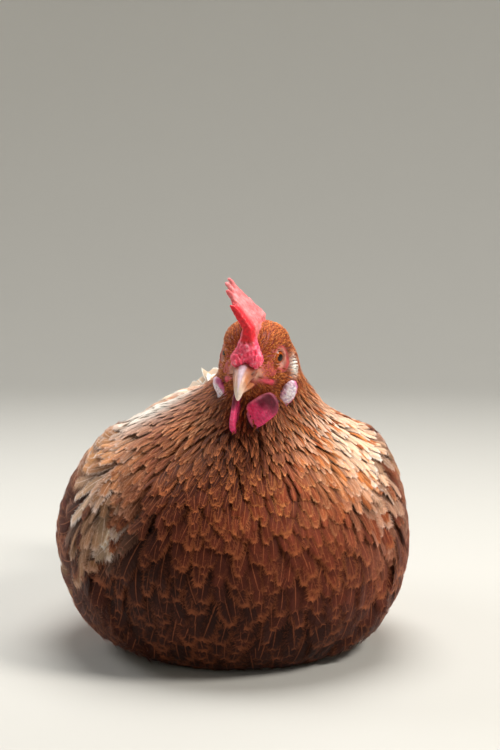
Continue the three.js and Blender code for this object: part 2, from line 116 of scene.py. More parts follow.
def step(low, high, x):
    """0 below low, 1 above high, and a smooth rise between."""
    t = np.clip((x - low) / (high - low), 0, 1)
    return t * t * (3 - 2 * t)


def mix(a, b, t):
    return a + (b - a) * t


def turn(yaw=0, pitch=0, roll=0):
    """The rotation that rolls about Y, then pitches about X, then yaws about Z, in degrees."""
    z, x, y = (math.radians(a) for a in (yaw, pitch, roll))
    about_z = np.array([[math.cos(z), -math.sin(z), 0], [math.sin(z), math.cos(z), 0], [0, 0, 1]])
    about_x = np.array([[1, 0, 0], [0, math.cos(x), -math.sin(x)], [0, math.sin(x), math.cos(x)]])
    about_y = np.array([[math.cos(y), 0, math.sin(y)], [0, 1, 0], [-math.sin(y), 0, math.cos(y)]])
    return about_z @ about_x @ about_y


def ripple(p, size, seed, waves=7):
    """A smooth random field from about -1 to 1 whose lumps are about `size` wide."""
    rng = np.random.default_rng(seed)
    total = np.zeros(p.shape[:-1])
    for k in unit(rng.normal(size=(waves, 3))) * rng.uniform(2.2, 4.0, (waves, 1)) / size:
        total += np.sin(p @ k + rng.uniform(0, 2 * math.pi))
    return total / math.sqrt(waves)


def srgb(r, g, b):
    """A colour given in 0 to 255 as it looks on a screen, as linear light."""
    c = np.array([r, g, b]) / 255
    return np.where(c < 0.04045, c / 12.92, ((c + 0.055) / 1.055) ** 2.4)


# ------------------------------------------------------------------ fields: points -> distances


def egg(centre, low, high=None):
    """An ellipsoid whose radii differ below and above its centre along each axis."""
    centre, low = np.array(centre, float), np.array(low, float)
    high = low if high is None else np.array(high, float)

    def field(p):
        d = p - centre
        r = np.where(d < 0, low, high)
        near = np.sqrt(((d / r) ** 2).sum(-1))
        far = np.sqrt(((d / r**2) ** 2).sum(-1))
        return near * (near - 1) / np.maximum(far, 1e-6)

    return field


def cone(a, b, ra, rb):
    """A rod from a to b with round ends, whose radius runs from ra to rb."""
    a, b = np.array(a, float), np.array(b, float)
    axis = b - a

    def field(p):
        t = np.clip((p - a) @ axis / (axis @ axis), 0, 1)
        return np.linalg.norm(p - a - t[..., None] * axis, axis=-1) - mix(ra, rb, t)

    return field


def least(a, b, blend):
    """The smaller of two distances, rounded where they are alike: a joint with a fillet."""
    h = np.maximum(0, blend - np.abs(a - b)) / blend
    return np.minimum(a, b) - h * h * blend / 4


def most(a, b, blend):
    return -least(-a, -b, blend)


def join(blend, *fields):
    def field(p):
        total = fields[0](p)
        for other in fields[1:]:
            total = least(total, other(p), blend)
        return total

    return field


def plate(flat, x, half, edge):
    """A flat outline's distance made a plate of half thickness `half` with a round edge."""
    across, along = np.abs(x) - half + edge, flat + edge
    outside = np.hypot(np.maximum(across, 0), np.maximum(along, 0))
    return outside + np.minimum(np.maximum(across, along), 0) - edge


HEAD_AT = np.array(HEAD["centre"], float)
HEAD_TURN = turn(HEAD["yaw"], HEAD["pitch"], HEAD["roll"])


def on_head(q):
    """Points of the head's own frame, in the hen's frame."""
    return q @ HEAD_TURN.T + HEAD_AT


def in_head(p):
    return (p - HEAD_AT) @ HEAD_TURN


def head_distance(p):
    return np.linalg.norm(p - HEAD_AT, axis=-1)


# The same eggs and cones as the solids, so the coat ends at their surface.
TRUNK = join(
    26,
    egg((0, 8, 66), (105, 114, 92), (105, 120, 82)),
    egg((0, -46, 72), (84, 66, 70), (84, 60, 66)),
    egg((0, 92, 100), (64, 60, 50)),
    egg((0, 72, 46), (76, 56, 56)),
    egg((53, -14, 106), (34, 42, 36)),
    egg((-45, -14, 102), (34, 42, 36)),
)
RUFF = cone((18, -34, 156), (16, -43, 178), 25, 17.5)  # the hackle stands out on the nape's left
NECK = join(8, cone((2, -30, 118), (11, -47, 171), 57, 20), RUFF)
HEAD_FORM = join(
    12,
    join(
        7,
        egg((0, 6, 0), (16.8, 23, 19), (16.8, 20, 19)),
        cone((0, 2, -3), (0, -19, -4), 16, 7.8),
        cone((0, 10, -13), (0, -13, -12), 14, 6.4),
        *(cone((4.5 * s, -14, -10.5), (8 * s, -4, -11), 6, 9) for s in (1, -1)),
        *(cone((6.5 * s, 0, 6.5), (8.5 * s, 12, 6), 8.6, 10.3) for s in (1, -1)),
        *(cone((10.5 * s, 7, -7), (11 * s, 11, -13), 8.2, 7.6) for s in (1, -1)),
    ),
    cone((0, 12, -14), (0, 18, -32), 16.5, 21),
)


def flesh(p):
    """The outer surface of the coat on trunk, neck and head."""
    upper = least(NECK(p), HEAD_FORM(in_head(p)), 14)
    return least(TRUNK(p), upper, 32)


def wing_edges(y):
    """The heights of a folded wing's lower and upper outline at places along the hen."""
    return np.interp(y, *zip(*WING_LOWER)), np.interp(y, *zip(*WING_UPPER))


def wing_share(p):
    """1 on a folded wing, falling to 0 a little way outside its outline as seen from the side."""
    y, z = p[..., 1], p[..., 2]
    lower, upper = wing_edges(y)
    front, back = WING_ENDS
    inside = np.minimum(np.minimum(z - lower, upper - z), np.minimum(y - front, back - y))
    return step(-4, 4, inside) * step(38, 46, np.abs(p[..., 0]))


def coat(p):
    """The level of the feathers' tips, lifted over the wings and flattened by the floor."""
    return most(flesh(p) - WING_STAND * wing_share(p), BELLY_REST - p[..., 2], 6)


def coat_depth(p):
    """How far the skin lies under the feathers' tips: little on the head, more down the neck."""
    away = head_distance(p)
    return 1.3 + 3.4 * step(22, 52, away) + 3.4 * step(55, 110, away)


# ------------------------------------------------------------------ the bare parts of the head


def eye_middle(sign):
    return np.array([sign * EYE["x"], EYE["y"], 0.0])


def gaze(sign):
    forward = math.radians(EYE["forward"])
    return np.array([sign * math.cos(forward), -math.sin(forward), 0.02])


def eye_polar(q, sign):
    """Points' distances from an eye's middle, and their angles from its gaze in degrees."""
    off = q - eye_middle(sign)
    away = np.linalg.norm(off, axis=-1)
    turned = np.clip(off @ gaze(sign) / np.maximum(away, 1e-6), -1, 1)
    return away, np.degrees(np.arccos(turned))


def bare_face(q):
    """1 on the bare skin round the eyes and down to the bill, 0 under feathers."""
    y, z = q[..., 1], q[..., 2]
    round_eye = 1.2 - ((y + 3) / 9.0) ** 2 - ((z + 0.8) / 8.0) ** 2
    lore = 1.1 - ((y + 13) / 7.5) ** 2 - ((z + 4.5) / 5) ** 2
    return step(0, 0.5, np.maximum(round_eye, lore)) * step(4, 8, np.abs(q[..., 0]))


def bristle_share(p):
    """The share of the small feathers that the bare skin does without: most of them round the eye."""
    q = in_head(p)
    beside = np.hypot(q[:, 1] - EYE["y"] + 2.5, q[:, 2])
    return bare_face(q) * mix(0.8, 0.0, step(8.0, 9.6, beside))


def comb_form(q):
    """The comb's blade, which falls over to the right, with its points, foot and back end."""
    lean = COMB["lean"] * np.maximum(0, q[..., 2] - COMB["lean_from"])
    x = q[..., 0] - COMB["x"] + lean
    side = q * (0, 1, 1)
    rods = [cone((0, 0.45 * y - 1, 13), (0, y, z - 1.6), 6.8, 1.3) for y, z in COMB_POINTS]
    for (y, z), (next_y, next_z) in zip(COMB_POINTS, COMB_POINTS[1:]):
        rods.append(cone((0, 0.9 * y, 0.76 * z), (0, 0.9 * next_y, 0.76 * next_z), 4.4, 4.4))
    rods.append(cone((0, -20.5, 12), (0, -20, 32), 4.6, 1.4))
    rods.append(cone((0, 4, 14), (0, 15.5, 15.5), 5.5, 2.2))
    half = np.interp(q[..., 2], (2, 14, 26, 45), (3.4, 3.2, 2.5, 1.35))
    body = plate(join(1.6, *rods)(side), x + 0.25 * ripple(q, 9, 3), half, 1.15)
    return body - 0.16 * ripple(q, 1.3, 5) - 0.08 * ripple(q, 0.8, 6)


def cere_hollows(q):
    """0 on the crests of the wrinkles over the bill, which run up and down, and more between them."""
    return np.abs(ripple(q * (1.15, 1, 0.6), 1.5, 11)) + 0.4 * np.abs(ripple(q, 0.95, 12))


def cere_form(q):
    """The crinkled foot of the comb: a stem that broadens into two lobes over the base of the bill."""
    lobes = join(
        2.2,
        egg((1.4, -20.5, 8.5), (6.4, 6.2, 7)),
        egg((6.0, -22.2, 4.0), (4.6, 5.3, 5.2)),
        egg((-3.6, -22.8, 4.0), (4.6, 5.5, 5.2)),
        cone((1.2, -19.5, 9), (0.6, -17, 18), 6.2, 3.4),
    )
    return lobes(q) + 0.85 * cere_hollows(q) - 0.5


WATTLE_AT = {
    "left": ((8.8, -15, -28), turn(yaw=60, pitch=20)),
    "right": ((-6.2, -13, -29), turn(yaw=-2, roll=4)),
}


def on_wattle(q, side):
    """Places on a wattle: x through the leaf, and y and z as shares of its half width and height."""
    at, facing = WATTLE_AT[side]
    x, y, z = np.moveaxis((q - at) @ facing, -1, 0)
    return x, y / WATTLE["width"], z / WATTLE["height"]


def wattle_form(side):
    """One wattle: a leaf with a thick rim, hollow on one face and finely folded."""

    def field(q):
        x, y, z = on_wattle(q, side)
        reach = np.hypot(y, z * (1 + 0.1 * y))
        for cut_y, cut_z, out in WATTLE_CUTS[side]:  # the leaf's straighter edges
            reach = np.logaddexp(reach * 9, (1 + cut_y * y + cut_z * z - out) * 9) / 9
        flat = (reach - 1) * 11.5 + 0.35 * ripple(q, 7, 21)
        rim = 0.4 * step(0.62, 0.9, reach)
        folds = 0.16 * np.sin(7.5 * np.arctan2(y, z + 1.3) * 2 + 1.5 * ripple(q, 6, 22))
        bowl = 0.9 * (1 - reach**2) + 0.5 * ripple(q, 12, 23)
        return plate(flat, x + bowl, 0.95 + rim, 0.8) + folds * step(1.0, 0.5, reach)

    return field


EARLOBE_TURN = {side: turn(yaw=-46 * sign, pitch=-4, roll=24 * sign) for side, sign in SIDES.items()}


def on_earlobe(q, side):
    return (q - EARLOBE[side]) @ EARLOBE_TURN[side]


def lobe_wrinkles(w):
    """Short ridges across the earlobe, 0 in the valleys between them."""
    return np.abs(ripple(w * (0.5, 0.7, 1.5), 1.5, 31))


def earlobe_form(side):
    def field(q):
        w = on_earlobe(q, side)
        whole = egg((0, 0, 0), (2.7, EARLOBE["width"], EARLOBE["height"]))(w)
        return whole - 0.4 * np.minimum(lobe_wrinkles(w), 1) + 0.15

    return field


def gape_form(q):
    """The fold of bare skin at each corner of the bill."""
    folds = [cone((7.4 * s, -18, -8.4), (12.7 * s, -10, -12.4), 1.3, 1.4) for s in (1, -1)]
    return join(1, *folds)(q)


def head_skin(q, base):
    """The skin of the head from its plain form: eyes' hollows and lids, then all its bare parts."""
    skin = base - 0.13 * bare_face(q) * ripple(q, 2.2, 41)
    for sign in (1, -1):
        eye = eye_middle(sign)
        dish = eye + gaze(sign) * (EYE["dish"] + EYE["radius"] - 0.7)
        skin = most(skin, EYE["dish"] - np.linalg.norm(q - dish, axis=-1), 3.5)
        off = q - eye
        away, angle = eye_polar(q, sign)
        corner = 5 * step(0, 5, -off[..., 1] - 1.5) * step(3.5, 0, np.abs(off[..., 2] + 0.8))
        outside = (LID["opening"] + corner - angle) * math.radians(1) * EYE["radius"]
        lid = np.abs(away - EYE["radius"] - LID["thickness"]) - LID["thickness"]
        folds = 0.14 * np.sin(outside * 3.6) * step(0.4, 2.2, -outside) * step(7, 3, -outside)
        skin = least(skin, most(lid, outside, 0.8), 1.8) + folds
        skin = most(skin, -most(away - EYE["radius"] - 1.3, -outside, 0.4), 0.5)
    skin = least(skin, gape_form(q), 1.5)
    skin = least(skin, least(cere_form(q), comb_form(q), 2.5), 2.2)
    for side in SIDES:
        skin = least(skin, wattle_form(side)(q), 2.5)
        skin = least(skin, earlobe_form(side)(q), 1.2)
    return skin


def near_head(p):
    """Whether points lie in the block that holds the head and all its bare parts."""
    low, high = HEAD_BLOCK
    return ((p > low) & (p < high)).all(-1)


def skin_form(p):
    """The skin: under the coat by its depth, with the tail's root, and the head's bare parts."""
    depth = coat_depth(p)
    depth = mix(depth, 0.15, bare_face(in_head(p)) * step(34, 28, head_distance(p)))
    body = flesh(p) - WING_STAND * wing_share(p) + depth
    body = least(body, egg((0, 106, 112), (15, 40, 17))(p), 12)
    for sign in (1, -1):
        pocket = egg((sign * (LEG["x"] + 4), LEG["ankle"] - 38, 0), (33, 42, 11))
        shank = cone((sign * LEG["x"], 84, 6), (sign * LEG["x"], 0, 6), 10, 8)
        body = most(body, -least(pocket(p), shank(p), 3), 3)
    body = most(body, 3.0 - p[..., 2], 5)
    near = near_head(p)
    body[near] = head_skin(in_head(p[near]), body[near])
    return body


# ------------------------------------------------------------------ turning a field into a mesh

CORNERS = np.array([[m >> 2, (m >> 1) & 1, m & 1] for m in range(8)])
EDGES = [(m, m | bit) for m in range(8) for bit in (1, 2, 4) if not m & bit]


def linked(mask):
    """Whether the corners marked in an eight-bit mask hang together along a cell's edges."""
    seen = mask & -mask
    for _ in range(7):
        for m, n in EDGES:
            both = (1 << m) | (1 << n)
            if mask & both == both and seen & both:
                seen |= both
    return seen == mask


# For each mask of a cell's inner corners, whether only one sheet of the surface crosses the cell.
CLEAR = np.array([linked(mask) and linked(255 - mask) for mask in range(256)])


def graded(low, high, fine_from, fine_to):
    """Grid lines along one axis: close together in the fine stretch, and wider and wider away."""

    def outward(start, end):
        lines, gap, sign = [start], SKIN_CELL["fine"], math.copysign(1, end - start)
        while (end - lines[-1]) * sign > 0:
            gap = min(SKIN_CELL["coarse"], gap * 1.15)
            lines.append(lines[-1] + sign * gap)
        return lines[1:]

    middle = list(np.arange(fine_from, fine_to, SKIN_CELL["fine"]))
    return np.array(outward(middle[0], low)[::-1] + middle + outward(middle[-1], high))


def shifted(values, corner):
    """The grid's values at one corner of every cell."""
    a, b, c = corner
    nx, ny, nz = (n - 1 for n in values.shape[:3])
    return values[a : a + nx, b : b + ny, c : c + nz]


def surface(field, lines):
    """The zero surface of a field over a grid: one vertex to each cell that the surface crosses."""
    shape = [len(line) for line in lines]
    value = np.empty(shape)
    for i, x in enumerate(lines[0]):
        sheet = np.stack(np.meshgrid([x], lines[1], lines[2], indexing="ij"), -1)
        value[i] = field(sheet.reshape(-1, 3)).reshape(shape[1:])
    for axis in range(3):  # the outermost layers lie outside, so the surface is closed
        np.moveaxis(value, axis, 0)[[0, -1]] = 1.0

    # A cell crossed by two separate sheets would pinch them: its faintest corner changes sides.
    while True:
        mask = sum((shifted(value, c) < 0).astype(np.int32) << m for m, c in enumerate(CORNERS))
        bad = np.argwhere(~CLEAR[mask])
        if not len(bad):
            break
        for cell in bad:
            keys = [tuple(cell + c) for c in CORNERS]
            inside = [key for key in keys if value[key] < 0]
            if inside:
                value[max(inside, key=lambda key: value[key])] = 0.01

    cells = np.argwhere((mask > 0) & (mask < 255))
    number = np.full(mask.shape, -1)
    number[tuple(cells.T)] = np.arange(len(cells))
    at = [value[tuple((cells + c).T)] for c in CORNERS]
    total, crossings = np.zeros((len(cells), 3)), np.zeros((len(cells), 1))
    for m, n in EDGES:
        crossed = ((at[m] < 0) != (at[n] < 0))[:, None]
        t = (at[m] / np.where(crossed[:, 0], at[m] - at[n], 1))[:, None]
        total += np.where(crossed, CORNERS[m] + t * (CORNERS[n] - CORNERS[m]), 0)
        crossings += crossed
    low = np.stack([lines[q][cells[:, q]] for q in range(3)], 1)
    size = np.stack([lines[q][cells[:, q] + 1] for q in range(3)], 1) - low
    start = low + size * total / crossings
    points = start.copy()
    for _ in range(2):
        there, slope = slopes(field, points)
        steep = np.maximum((slope**2).sum(-1), 0.05)
        points = points - 0.9 * (there / steep)[:, None] * slope
        points = np.clip(points, start - size / 2, start + size / 2)

    quads = []
    for axis in range(3):
        a, b, c = np.roll(np.eye(3, dtype=int), axis, 0)
        one = value[1:-1, 1:-1, 1:-1] < 0
        two = value[tuple(slice(1 + s, n - 1 + s) for s, n in zip(a, shape))] < 0
        edge = np.argwhere(one != two) + 1
        here = value[tuple(edge.T)] < 0
        around = [edge - b - c, edge - c, edge, edge - b]
        ring = np.stack([number[tuple(cell.T)] for cell in around], 1)
        quads.append(np.where(here[:, None], ring, ring[:, ::-1]))
    return points, np.concatenate(quads)


def slopes(field, p, small=0.05):
    """A field's value and gradient at points."""
    value = field(p)
    slope = np.stack([field(p + small * axis) for axis in np.eye(3)], -1)
    return value, (slope - value[..., None]) / small


# ------------------------------------------------------------------ meshes and their attributes


def mesh_object(name, points, faces, **attributes):
    """A smooth mesh in metres; a three-column attribute is a colour unless its name is vane."""
    faces = np.asarray(faces)
    mesh = bpy.data.meshes.new(name)
    mesh.vertices.add(len(points))
    mesh.vertices.foreach_set("co", (points * MM).ravel())
    mesh.loops.add(faces.size)
    mesh.loops.foreach_set("vertex_index", faces.ravel())
    mesh.polygons.add(len(faces))
    mesh.polygons.foreach_set("loop_start", np.arange(len(faces)) * faces.shape[1])
    mesh.polygons.foreach_set("use_smooth", np.ones(len(faces), bool))
    mesh.update(calc_edges=True)
    for key, values in attributes.items():
        if values.ndim == 1:
            mesh.attributes.new(key, "FLOAT", "POINT").data.foreach_set("value", values)
        elif key == "vane":
            mesh.attributes.new(key, "FLOAT_VECTOR", "POINT").data.foreach_set("vector", values.ravel())
        else:
            opaque = np.concatenate([values, np.ones((len(values), 1))], 1)
            mesh.attributes.new(key, "FLOAT_COLOR", "POINT").data.foreach_set("color", opaque.ravel())
    piece = bpy.data.objects.new(name, mesh)
    bpy.context.scene.collection.objects.link(piece)
    return piece


def dress(piece, look, slot):
    """Gives a piece its material and lets it ride on the hen's one body."""
    piece.data.materials.append(look)
    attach(piece, "root")
    return piece


def painted(name, points, faces, tint, look, slot):
    """A dressed piece of one tint, or with a tint for each point."""
    tint = np.broadcast_to(tint, points.shape)
    return dress(mesh_object(name, points, faces, tint=tint), look, slot)


def ring_quads(rings, sides):
    """The faces between each ring of points and the next."""
    grid = np.arange(rings * sides).reshape(rings, sides)
    a, b = grid[:-1], grid[1:]
    return np.stack([a, b, np.roll(b, -1, 1), np.roll(a, -1, 1)], -1).reshape(-1, 4)


def closed_rings(rings, sides):
    """Triangles of a closed skin over rings of points, with a point for each end after them."""
    quads = ring_quads(rings, sides)
    ring = np.arange(sides)
    after = np.roll(ring, -1)
    start, end = rings * sides + 0 * ring, rings * sides + 1 + 0 * ring
    final = (rings - 1) * sides
    caps = [np.stack([start, ring, after], -1), np.stack([end, final + after, final + ring], -1)]
    return np.concatenate([quads[:, [0, 1, 2]], quads[:, [0, 2, 3]], *caps])


def tube(stations, sides, section=None):
    """Rings round stations (x, y, z, half width, half height), closed by a point at each end."""
    stations = np.array(stations, float)
    at, wide, high = stations[:, :3], stations[:, 3:4], stations[:, 4:5]
    ahead = unit(np.gradient(at, axis=0))
    across = unit(np.cross(ahead, (0, 0, 1)))
    rise = np.cross(across, ahead)
    around = np.linspace(0, 2 * math.pi, sides, endpoint=False)
    out, up = section(around) if section else (np.cos(around), np.sin(around))
    rings = at[:, None] + across[:, None] * (wide * out)[..., None]
    rings = rings + rise[:, None] * (high * up)[..., None]
    tips = at[0] - ahead[0] * high[0] * 0.4, at[-1] + ahead[-1] * high[-1] * 0.6
    points = np.concatenate([rings.reshape(-1, 3), tips])
    return points, closed_rings(len(stations), sides)[:, ::-1]


def smooth_stations(stations, count):
    """More stations on a Catmull-Rom curve through the given ones, evenly by number."""
    stations = np.array(stations, float)
    spots = np.linspace(0, len(stations) - 1, count)
    k = np.clip(spots.astype(int), 0, len(stations) - 2)
    t = (spots - k)[:, None]
    before, after = 2 * stations[0] - stations[1], 2 * stations[-1] - stations[-2]
    padded = np.concatenate([before[None], stations, after[None]])
    p0, p1, p2, p3 = (padded[k + n] for n in range(4))
    square, cube = 2 * p0 - 5 * p1 + 4 * p2 - p3, 3 * p1 - p0 - 3 * p2 + p3
    return 0.5 * (2 * p1 + (p2 - p0) * t + square * t**2 + cube * t**3)


def merged(parts):
    """Several (points, faces) as one."""
    starts = np.cumsum([0] + [len(points) for points, _ in parts])
    points = np.concatenate([points for points, _ in parts])
    return points, np.concatenate([faces + start for (_, faces), start in zip(parts, starts)])


# ------------------------------------------------------------------ materials


class Look:
    """A material whose node tree grows by calls: each gives an output to feed to the next."""

    def __init__(self, name, **sockets):
        self.material = bpy.data.materials.new(name)
        self.material.use_nodes = True
        self.tree = self.material.node_tree
        self.shader = self.tree.nodes["Principled BSDF"]
        for socket, value in sockets.items():
            self.shader.inputs[socket.replace("_", " ")].default_value = value

    def node(self, kind, inputs=(), output=0, **settings):
        made = self.tree.nodes.new(kind)
        for key, value in settings.items():
            setattr(made, key, value)
        for key, value in dict(inputs).items():
            if isinstance(value, bpy.types.NodeSocket):
                self.tree.links.new(value, made.inputs[key])
            else:
                made.inputs[key].default_value = value
        return made.outputs[output]

    def attribute(self, name, output="Color"):
        return self.node("ShaderNodeAttribute", output=output, attribute_name=name)

    def place(self):
        return self.node("ShaderNodeTexCoord", output="Object")

    def noise(self, vector, scale, detail):
        inputs = {"Vector": vector, "Scale": scale, "Detail": detail}
        return self.node("ShaderNodeTexNoise", inputs)

    def maths(self, operation, *values):
        return self.node("ShaderNodeMath", dict(enumerate(values)), operation=operation)

    def spread(self, value, low, high, to_low=0.0, to_high=1.0):
        inputs = {0: value, 1: low, 2: high, 3: to_low, 4: to_high}
        return self.node("ShaderNodeMapRange", inputs, interpolation_type="SMOOTHSTEP")

    def mixed(self, a, b, factor, blend="MIX"):
        inputs = {0: factor, 6: a, 7: b}
        return self.node("ShaderNodeMix", inputs, 2, data_type="RGBA", blend_type=blend)

    def shaded(self, colour, factor):
        """A colour made lighter or darker by a factor round 1."""
        grey = self.node("ShaderNodeCombineColor", {0: factor, 1: factor, 2: factor})
        return self.mixed(colour, grey, 1.0, "MULTIPLY")

    def bump(self, height, strength, distance):
        inputs = {"Height": height, "Strength": strength, "Distance": distance * MM}
        return self.node("ShaderNodeBump", inputs)

    def wire(self, **sockets):
        for socket, output in sockets.items():
            self.tree.links.new(output, self.shader.inputs[socket.replace("_", " ")])
        return self.material


def feather_look(name, fringe, streaks=2.4, gloss=0.62):
    """Vanes: barbs as fine streaks, a pale fringe along the rim and a pale shaft down the middle."""
    look = Look(name, Roughness=gloss, Sheen_Weight=0.04, Sheen_Roughness=0.45, Specular_IOR_Level=0.12)
    across = look.node("ShaderNodeSeparateXYZ", {0: look.attribute("vane", "Vector")})
    along, seed = across.node.outputs[1], across.node.outputs[2]
    rim = look.attribute("rim", "Fac")
    stretched = look.maths("MULTIPLY", along, streaks)
    barb = look.node("ShaderNodeCombineXYZ", {0: stretched, 1: seed, 2: 0.0})
    streak = look.noise(barb, 1.0, 3.0)
    fine = look.noise(barb, 3.4, 2.0)
    wander = look.maths("MULTIPLY_ADD", look.maths("SUBTRACT", streak, 0.5), fringe * 1.6, rim)
    edging = look.spread(wander, fringe, fringe * 0.25)
    colour = look.mixed(look.attribute("tint"), look.attribute("edge"), edging)
    shaft = look.spread(look.maths("ABSOLUTE", across), 0.085, 0.03, 0.0, 0.75)
    colour = look.mixed(colour, look.attribute("edge"), shaft)
    uneven = look.maths("ADD", streak, look.maths("MULTIPLY", fine, 0.7))
    colour = look.shaded(colour, look.spread(uneven, 0.45, 1.25, 0.62, 1.38))
    relief = look.bump(look.maths("ADD", streak, fine), 0.35, 0.35)
    return look.wire(Base_Color=colour, Normal=relief)


def skin_look():
    """Bare skin: blotched, finely grained, and a little light passes through it."""
    look = Look("bare_skin", Roughness=0.46, Specular_IOR_Level=0.45, Subsurface_Weight=0.12)
    look.shader.inputs["Subsurface Radius"].default_value = (0.0022, 0.0007, 0.0005)
    look.shader.inputs["Subsurface Scale"].default_value = 1.0
    place = look.place()
    blotch = look.noise(place, 420.0, 3.0)
    grain = look.noise(place, 1500.0, 2.0)
    colour = look.shaded(look.attribute("tint"), look.spread(blotch, 0.3, 0.7, 0.78, 1.2))
    height = look.maths("ADD", look.maths("MULTIPLY", blotch, 1.6), grain)
    return look.wire(Base_Color=colour, Normal=look.bump(height, 0.55, 0.45))


def horn_look(name, gloss, grain):
    """Bill, claws and scales: a cloudy horn with fine flakes."""
    look = Look(name, Roughness=gloss, Specular_IOR_Level=0.5, Subsurface_Weight=0.08)
    look.shader.inputs["Subsurface Radius"].default_value = (0.002, 0.001, 0.0006)
    place = look.place()
    cloud = look.noise(place, grain, 4.0)
    flake = look.noise(place, grain * 4, 2.0)
    colour = look.shaded(look.attribute("tint"), look.spread(cloud, 0.3, 0.7, 0.84, 1.12))
    return look.wire(Base_Color=colour, Normal=look.bump(look.maths("ADD", cloud, flake), 0.3, 0.25))


# ------------------------------------------------------------------ markings shared by skin and coat

RUST = srgb(148, 61, 25)
GOLD = srgb(238, 150, 78)
CREAM = srgb(238, 222, 200)
WHITE = srgb(246, 240, 232)
# Painted shade: the dark brown laid low on the front and under the head.
SHADE_BROWN = srgb(42, 18, 12)
MAUVE = srgb(110, 48, 32)
FRINGE = srgb(178, 98, 60)
CHESTNUT = srgb(90, 37, 23)
BUFF = srgb(206, 160, 116)
LACE = srgb(168, 106, 74)
CROWN = srgb(190, 88, 54)

# The coat's patches: each spot has a centre, a reach along each axis, and a weight.
PATCHES = {
    # Painted shade under the head and down the hen's right breast:
    "throat_shade": (((-4, -88, 140), (32, 40, 26), 1), ((-36, -80, 112), (30, 40, 24), 0.8)),
    "gold": (
        ((-76, -36, 122), (24, 40, 24), 1),
        ((58, -56, 126), (27, 44, 26), 1.15),
        ((-32, -60, 142), (16, 30, 16), 0.6),
    ),
    "pale left": (((56, -38, 134), (30, 40, 20), 1), ((78, -50, 108), (18, 30, 26), 0.7)),
    "pale right": (((-93, -46, 104), (14, 30, 14), 1), ((-82, -58, 90), (12, 30, 11), 1.3)),
    "saddle": (((-44, -8, 148), (38, 26, 24), 1.6),),
    "shoulder": (((-84, -26, 124), (26, 34, 16), 1),),
}


def spot(p, centre, reach):
    """1 at a centre, falling to 0 about `reach` away."""
    return np.exp(-(((p - np.array(centre)) / np.array(reach)) ** 2).sum(-1))


def patch_share(p, name):
    return sum(weight * spot(p, centre, reach) for centre, reach, weight in PATCHES[name])


def markings(p, draw):
    """The coat's colour and its feathers' fringe colour at points, given three random draws each, with
    painted shade low on the front and under the head.
    """
    x, y, z = p.T
    cloud = ripple(p, 38, 51)
    tint = np.tile(RUST, (len(p), 1))
    edge = np.tile(mix(GOLD, FRINGE, 0.15), (len(p), 1))

    def lay(colour, rim, share):
        nonlocal tint, edge
        share = np.clip(share, 0, 1)[:, None]
        tint, edge = mix(tint, colour, share), mix(edge, rim, share)

    some, many = draw[:, 0] < 0.55, draw[:, 0] < 0.66
    front = step(10, -45, y)
    breast = step(60, 105, head_distance(p)) * front
    lay(MAUVE, mix(FRINGE, MAUVE, 0.4), breast * 0.9)
    # Painted shade: the front darkens towards the bottom, and more on the hen's right side, away from
    # the key light.
    lay(SHADE_BROWN, mix(FRINGE, SHADE_BROWN, 0.58), step(118, 40, z + 0.4 * x) * front * 0.95)
    # Painted shade under the head.
    lay(SHADE_BROWN, FRINGE, patch_share(p, "throat_shade") * 0.85)
    gold = patch_share(p, "gold") * mix(0.2, 1.5, draw[:, 1])
    lay(mix(RUST, GOLD, 0.5), mix(GOLD, CREAM, 0.35), gold)
    pale = 1.2 * patch_share(p, "pale left") * many
    lay(mix(CREAM, GOLD, 0.45), mix(WHITE, GOLD, 0.15), pale)
    lay(mix(CREAM, BUFF, 0.6), WHITE, 1.1 * patch_share(p, "pale right") * many)
    back = step(-20, 22, y) * step(92, 118, z)
    lay(mix(CREAM, BUFF, 0.25), WHITE, back * (0.55 + 0.6 * some))
    lay(mix(CREAM, WHITE, 0.6), WHITE, patch_share(p, "saddle"))
    lay(mix(RUST, BUFF, 0.3), CREAM, back * (cloud > 0.55) * 0.8)
    wing = wing_share(p) * step(40, 48, np.abs(x))
    lay(CHESTNUT, LACE, wing * step(-40, -10, y) + wing * 0.35)
    lay(mix(CHESTNUT, BUFF, 0.4), mix(LACE, CREAM, 0.3), wing * (cloud + draw[:, 1] > 1.15))
    shoulder = patch_share(p, "shoulder") * (0.5 + 0.6 * (draw[:, 0] < 0.6))
    lay(mix(BUFF, GOLD, 0.4), mix(WHITE, GOLD, 0.25), shoulder)
    rear = step(45, 95, y) * step(96, 60, z) * (1 - wing)
    lay(mix(BUFF, MAUVE, 0.3), CREAM, rear)
    q = in_head(p)
    lay(CROWN, GOLD, spot(q, (0, 4, 16), (18, 22, 12)))
    for sign in (1, -1):  # the white tuft over each ear
        lay(WHITE, WHITE, spot(q, (21 * sign, 11.5, -8), (8, 4.4, 4.8)) * 1.8)
    light = (0.72 + 0.56 * draw[:, 2])[:, None] * (1 + 0.08 * ripple(p, 16, 53))[:, None]
    return tint * light, edge * mix(light, 1, 0.4)


FACE = {
    "face": srgb(176, 66, 62),
    "lid": srgb(196, 128, 112),
    "comb": srgb(224, 26, 42),
    # painted light: the pale pink of the comb's lit blade
    "comb_painted_light": srgb(242, 150, 152),
    "cere": srgb(255, 82, 114),
    # painted highlight on the crests of the cere's wrinkles
    "cere_crest_highlight": srgb(255, 170, 186),
    "wattle": srgb(250, 68, 128),
    # painted highlights on the wattles
    "wattle_highlight": srgb(250, 136, 168),
    # painted shadow on the wattles' upper part
    "wattle_shadow": srgb(84, 14, 32),
    "wattle_rim": srgb(246, 140, 168),
    "lobe_deep": srgb(150, 104, 168),
    "lobe": srgb(250, 242, 250),
    "lobe_rim": srgb(222, 84, 152),
    "gape": srgb(208, 60, 82),
    "nostril": srgb(206, 152, 128),
}


# Painted shade: the skin under the feathers is painted darker than their colour, so the gaps between
# feathers look shaded.
SHADE_UNDER_COAT = 0.66  # how dark the skin under feathers is, as a share of their colour


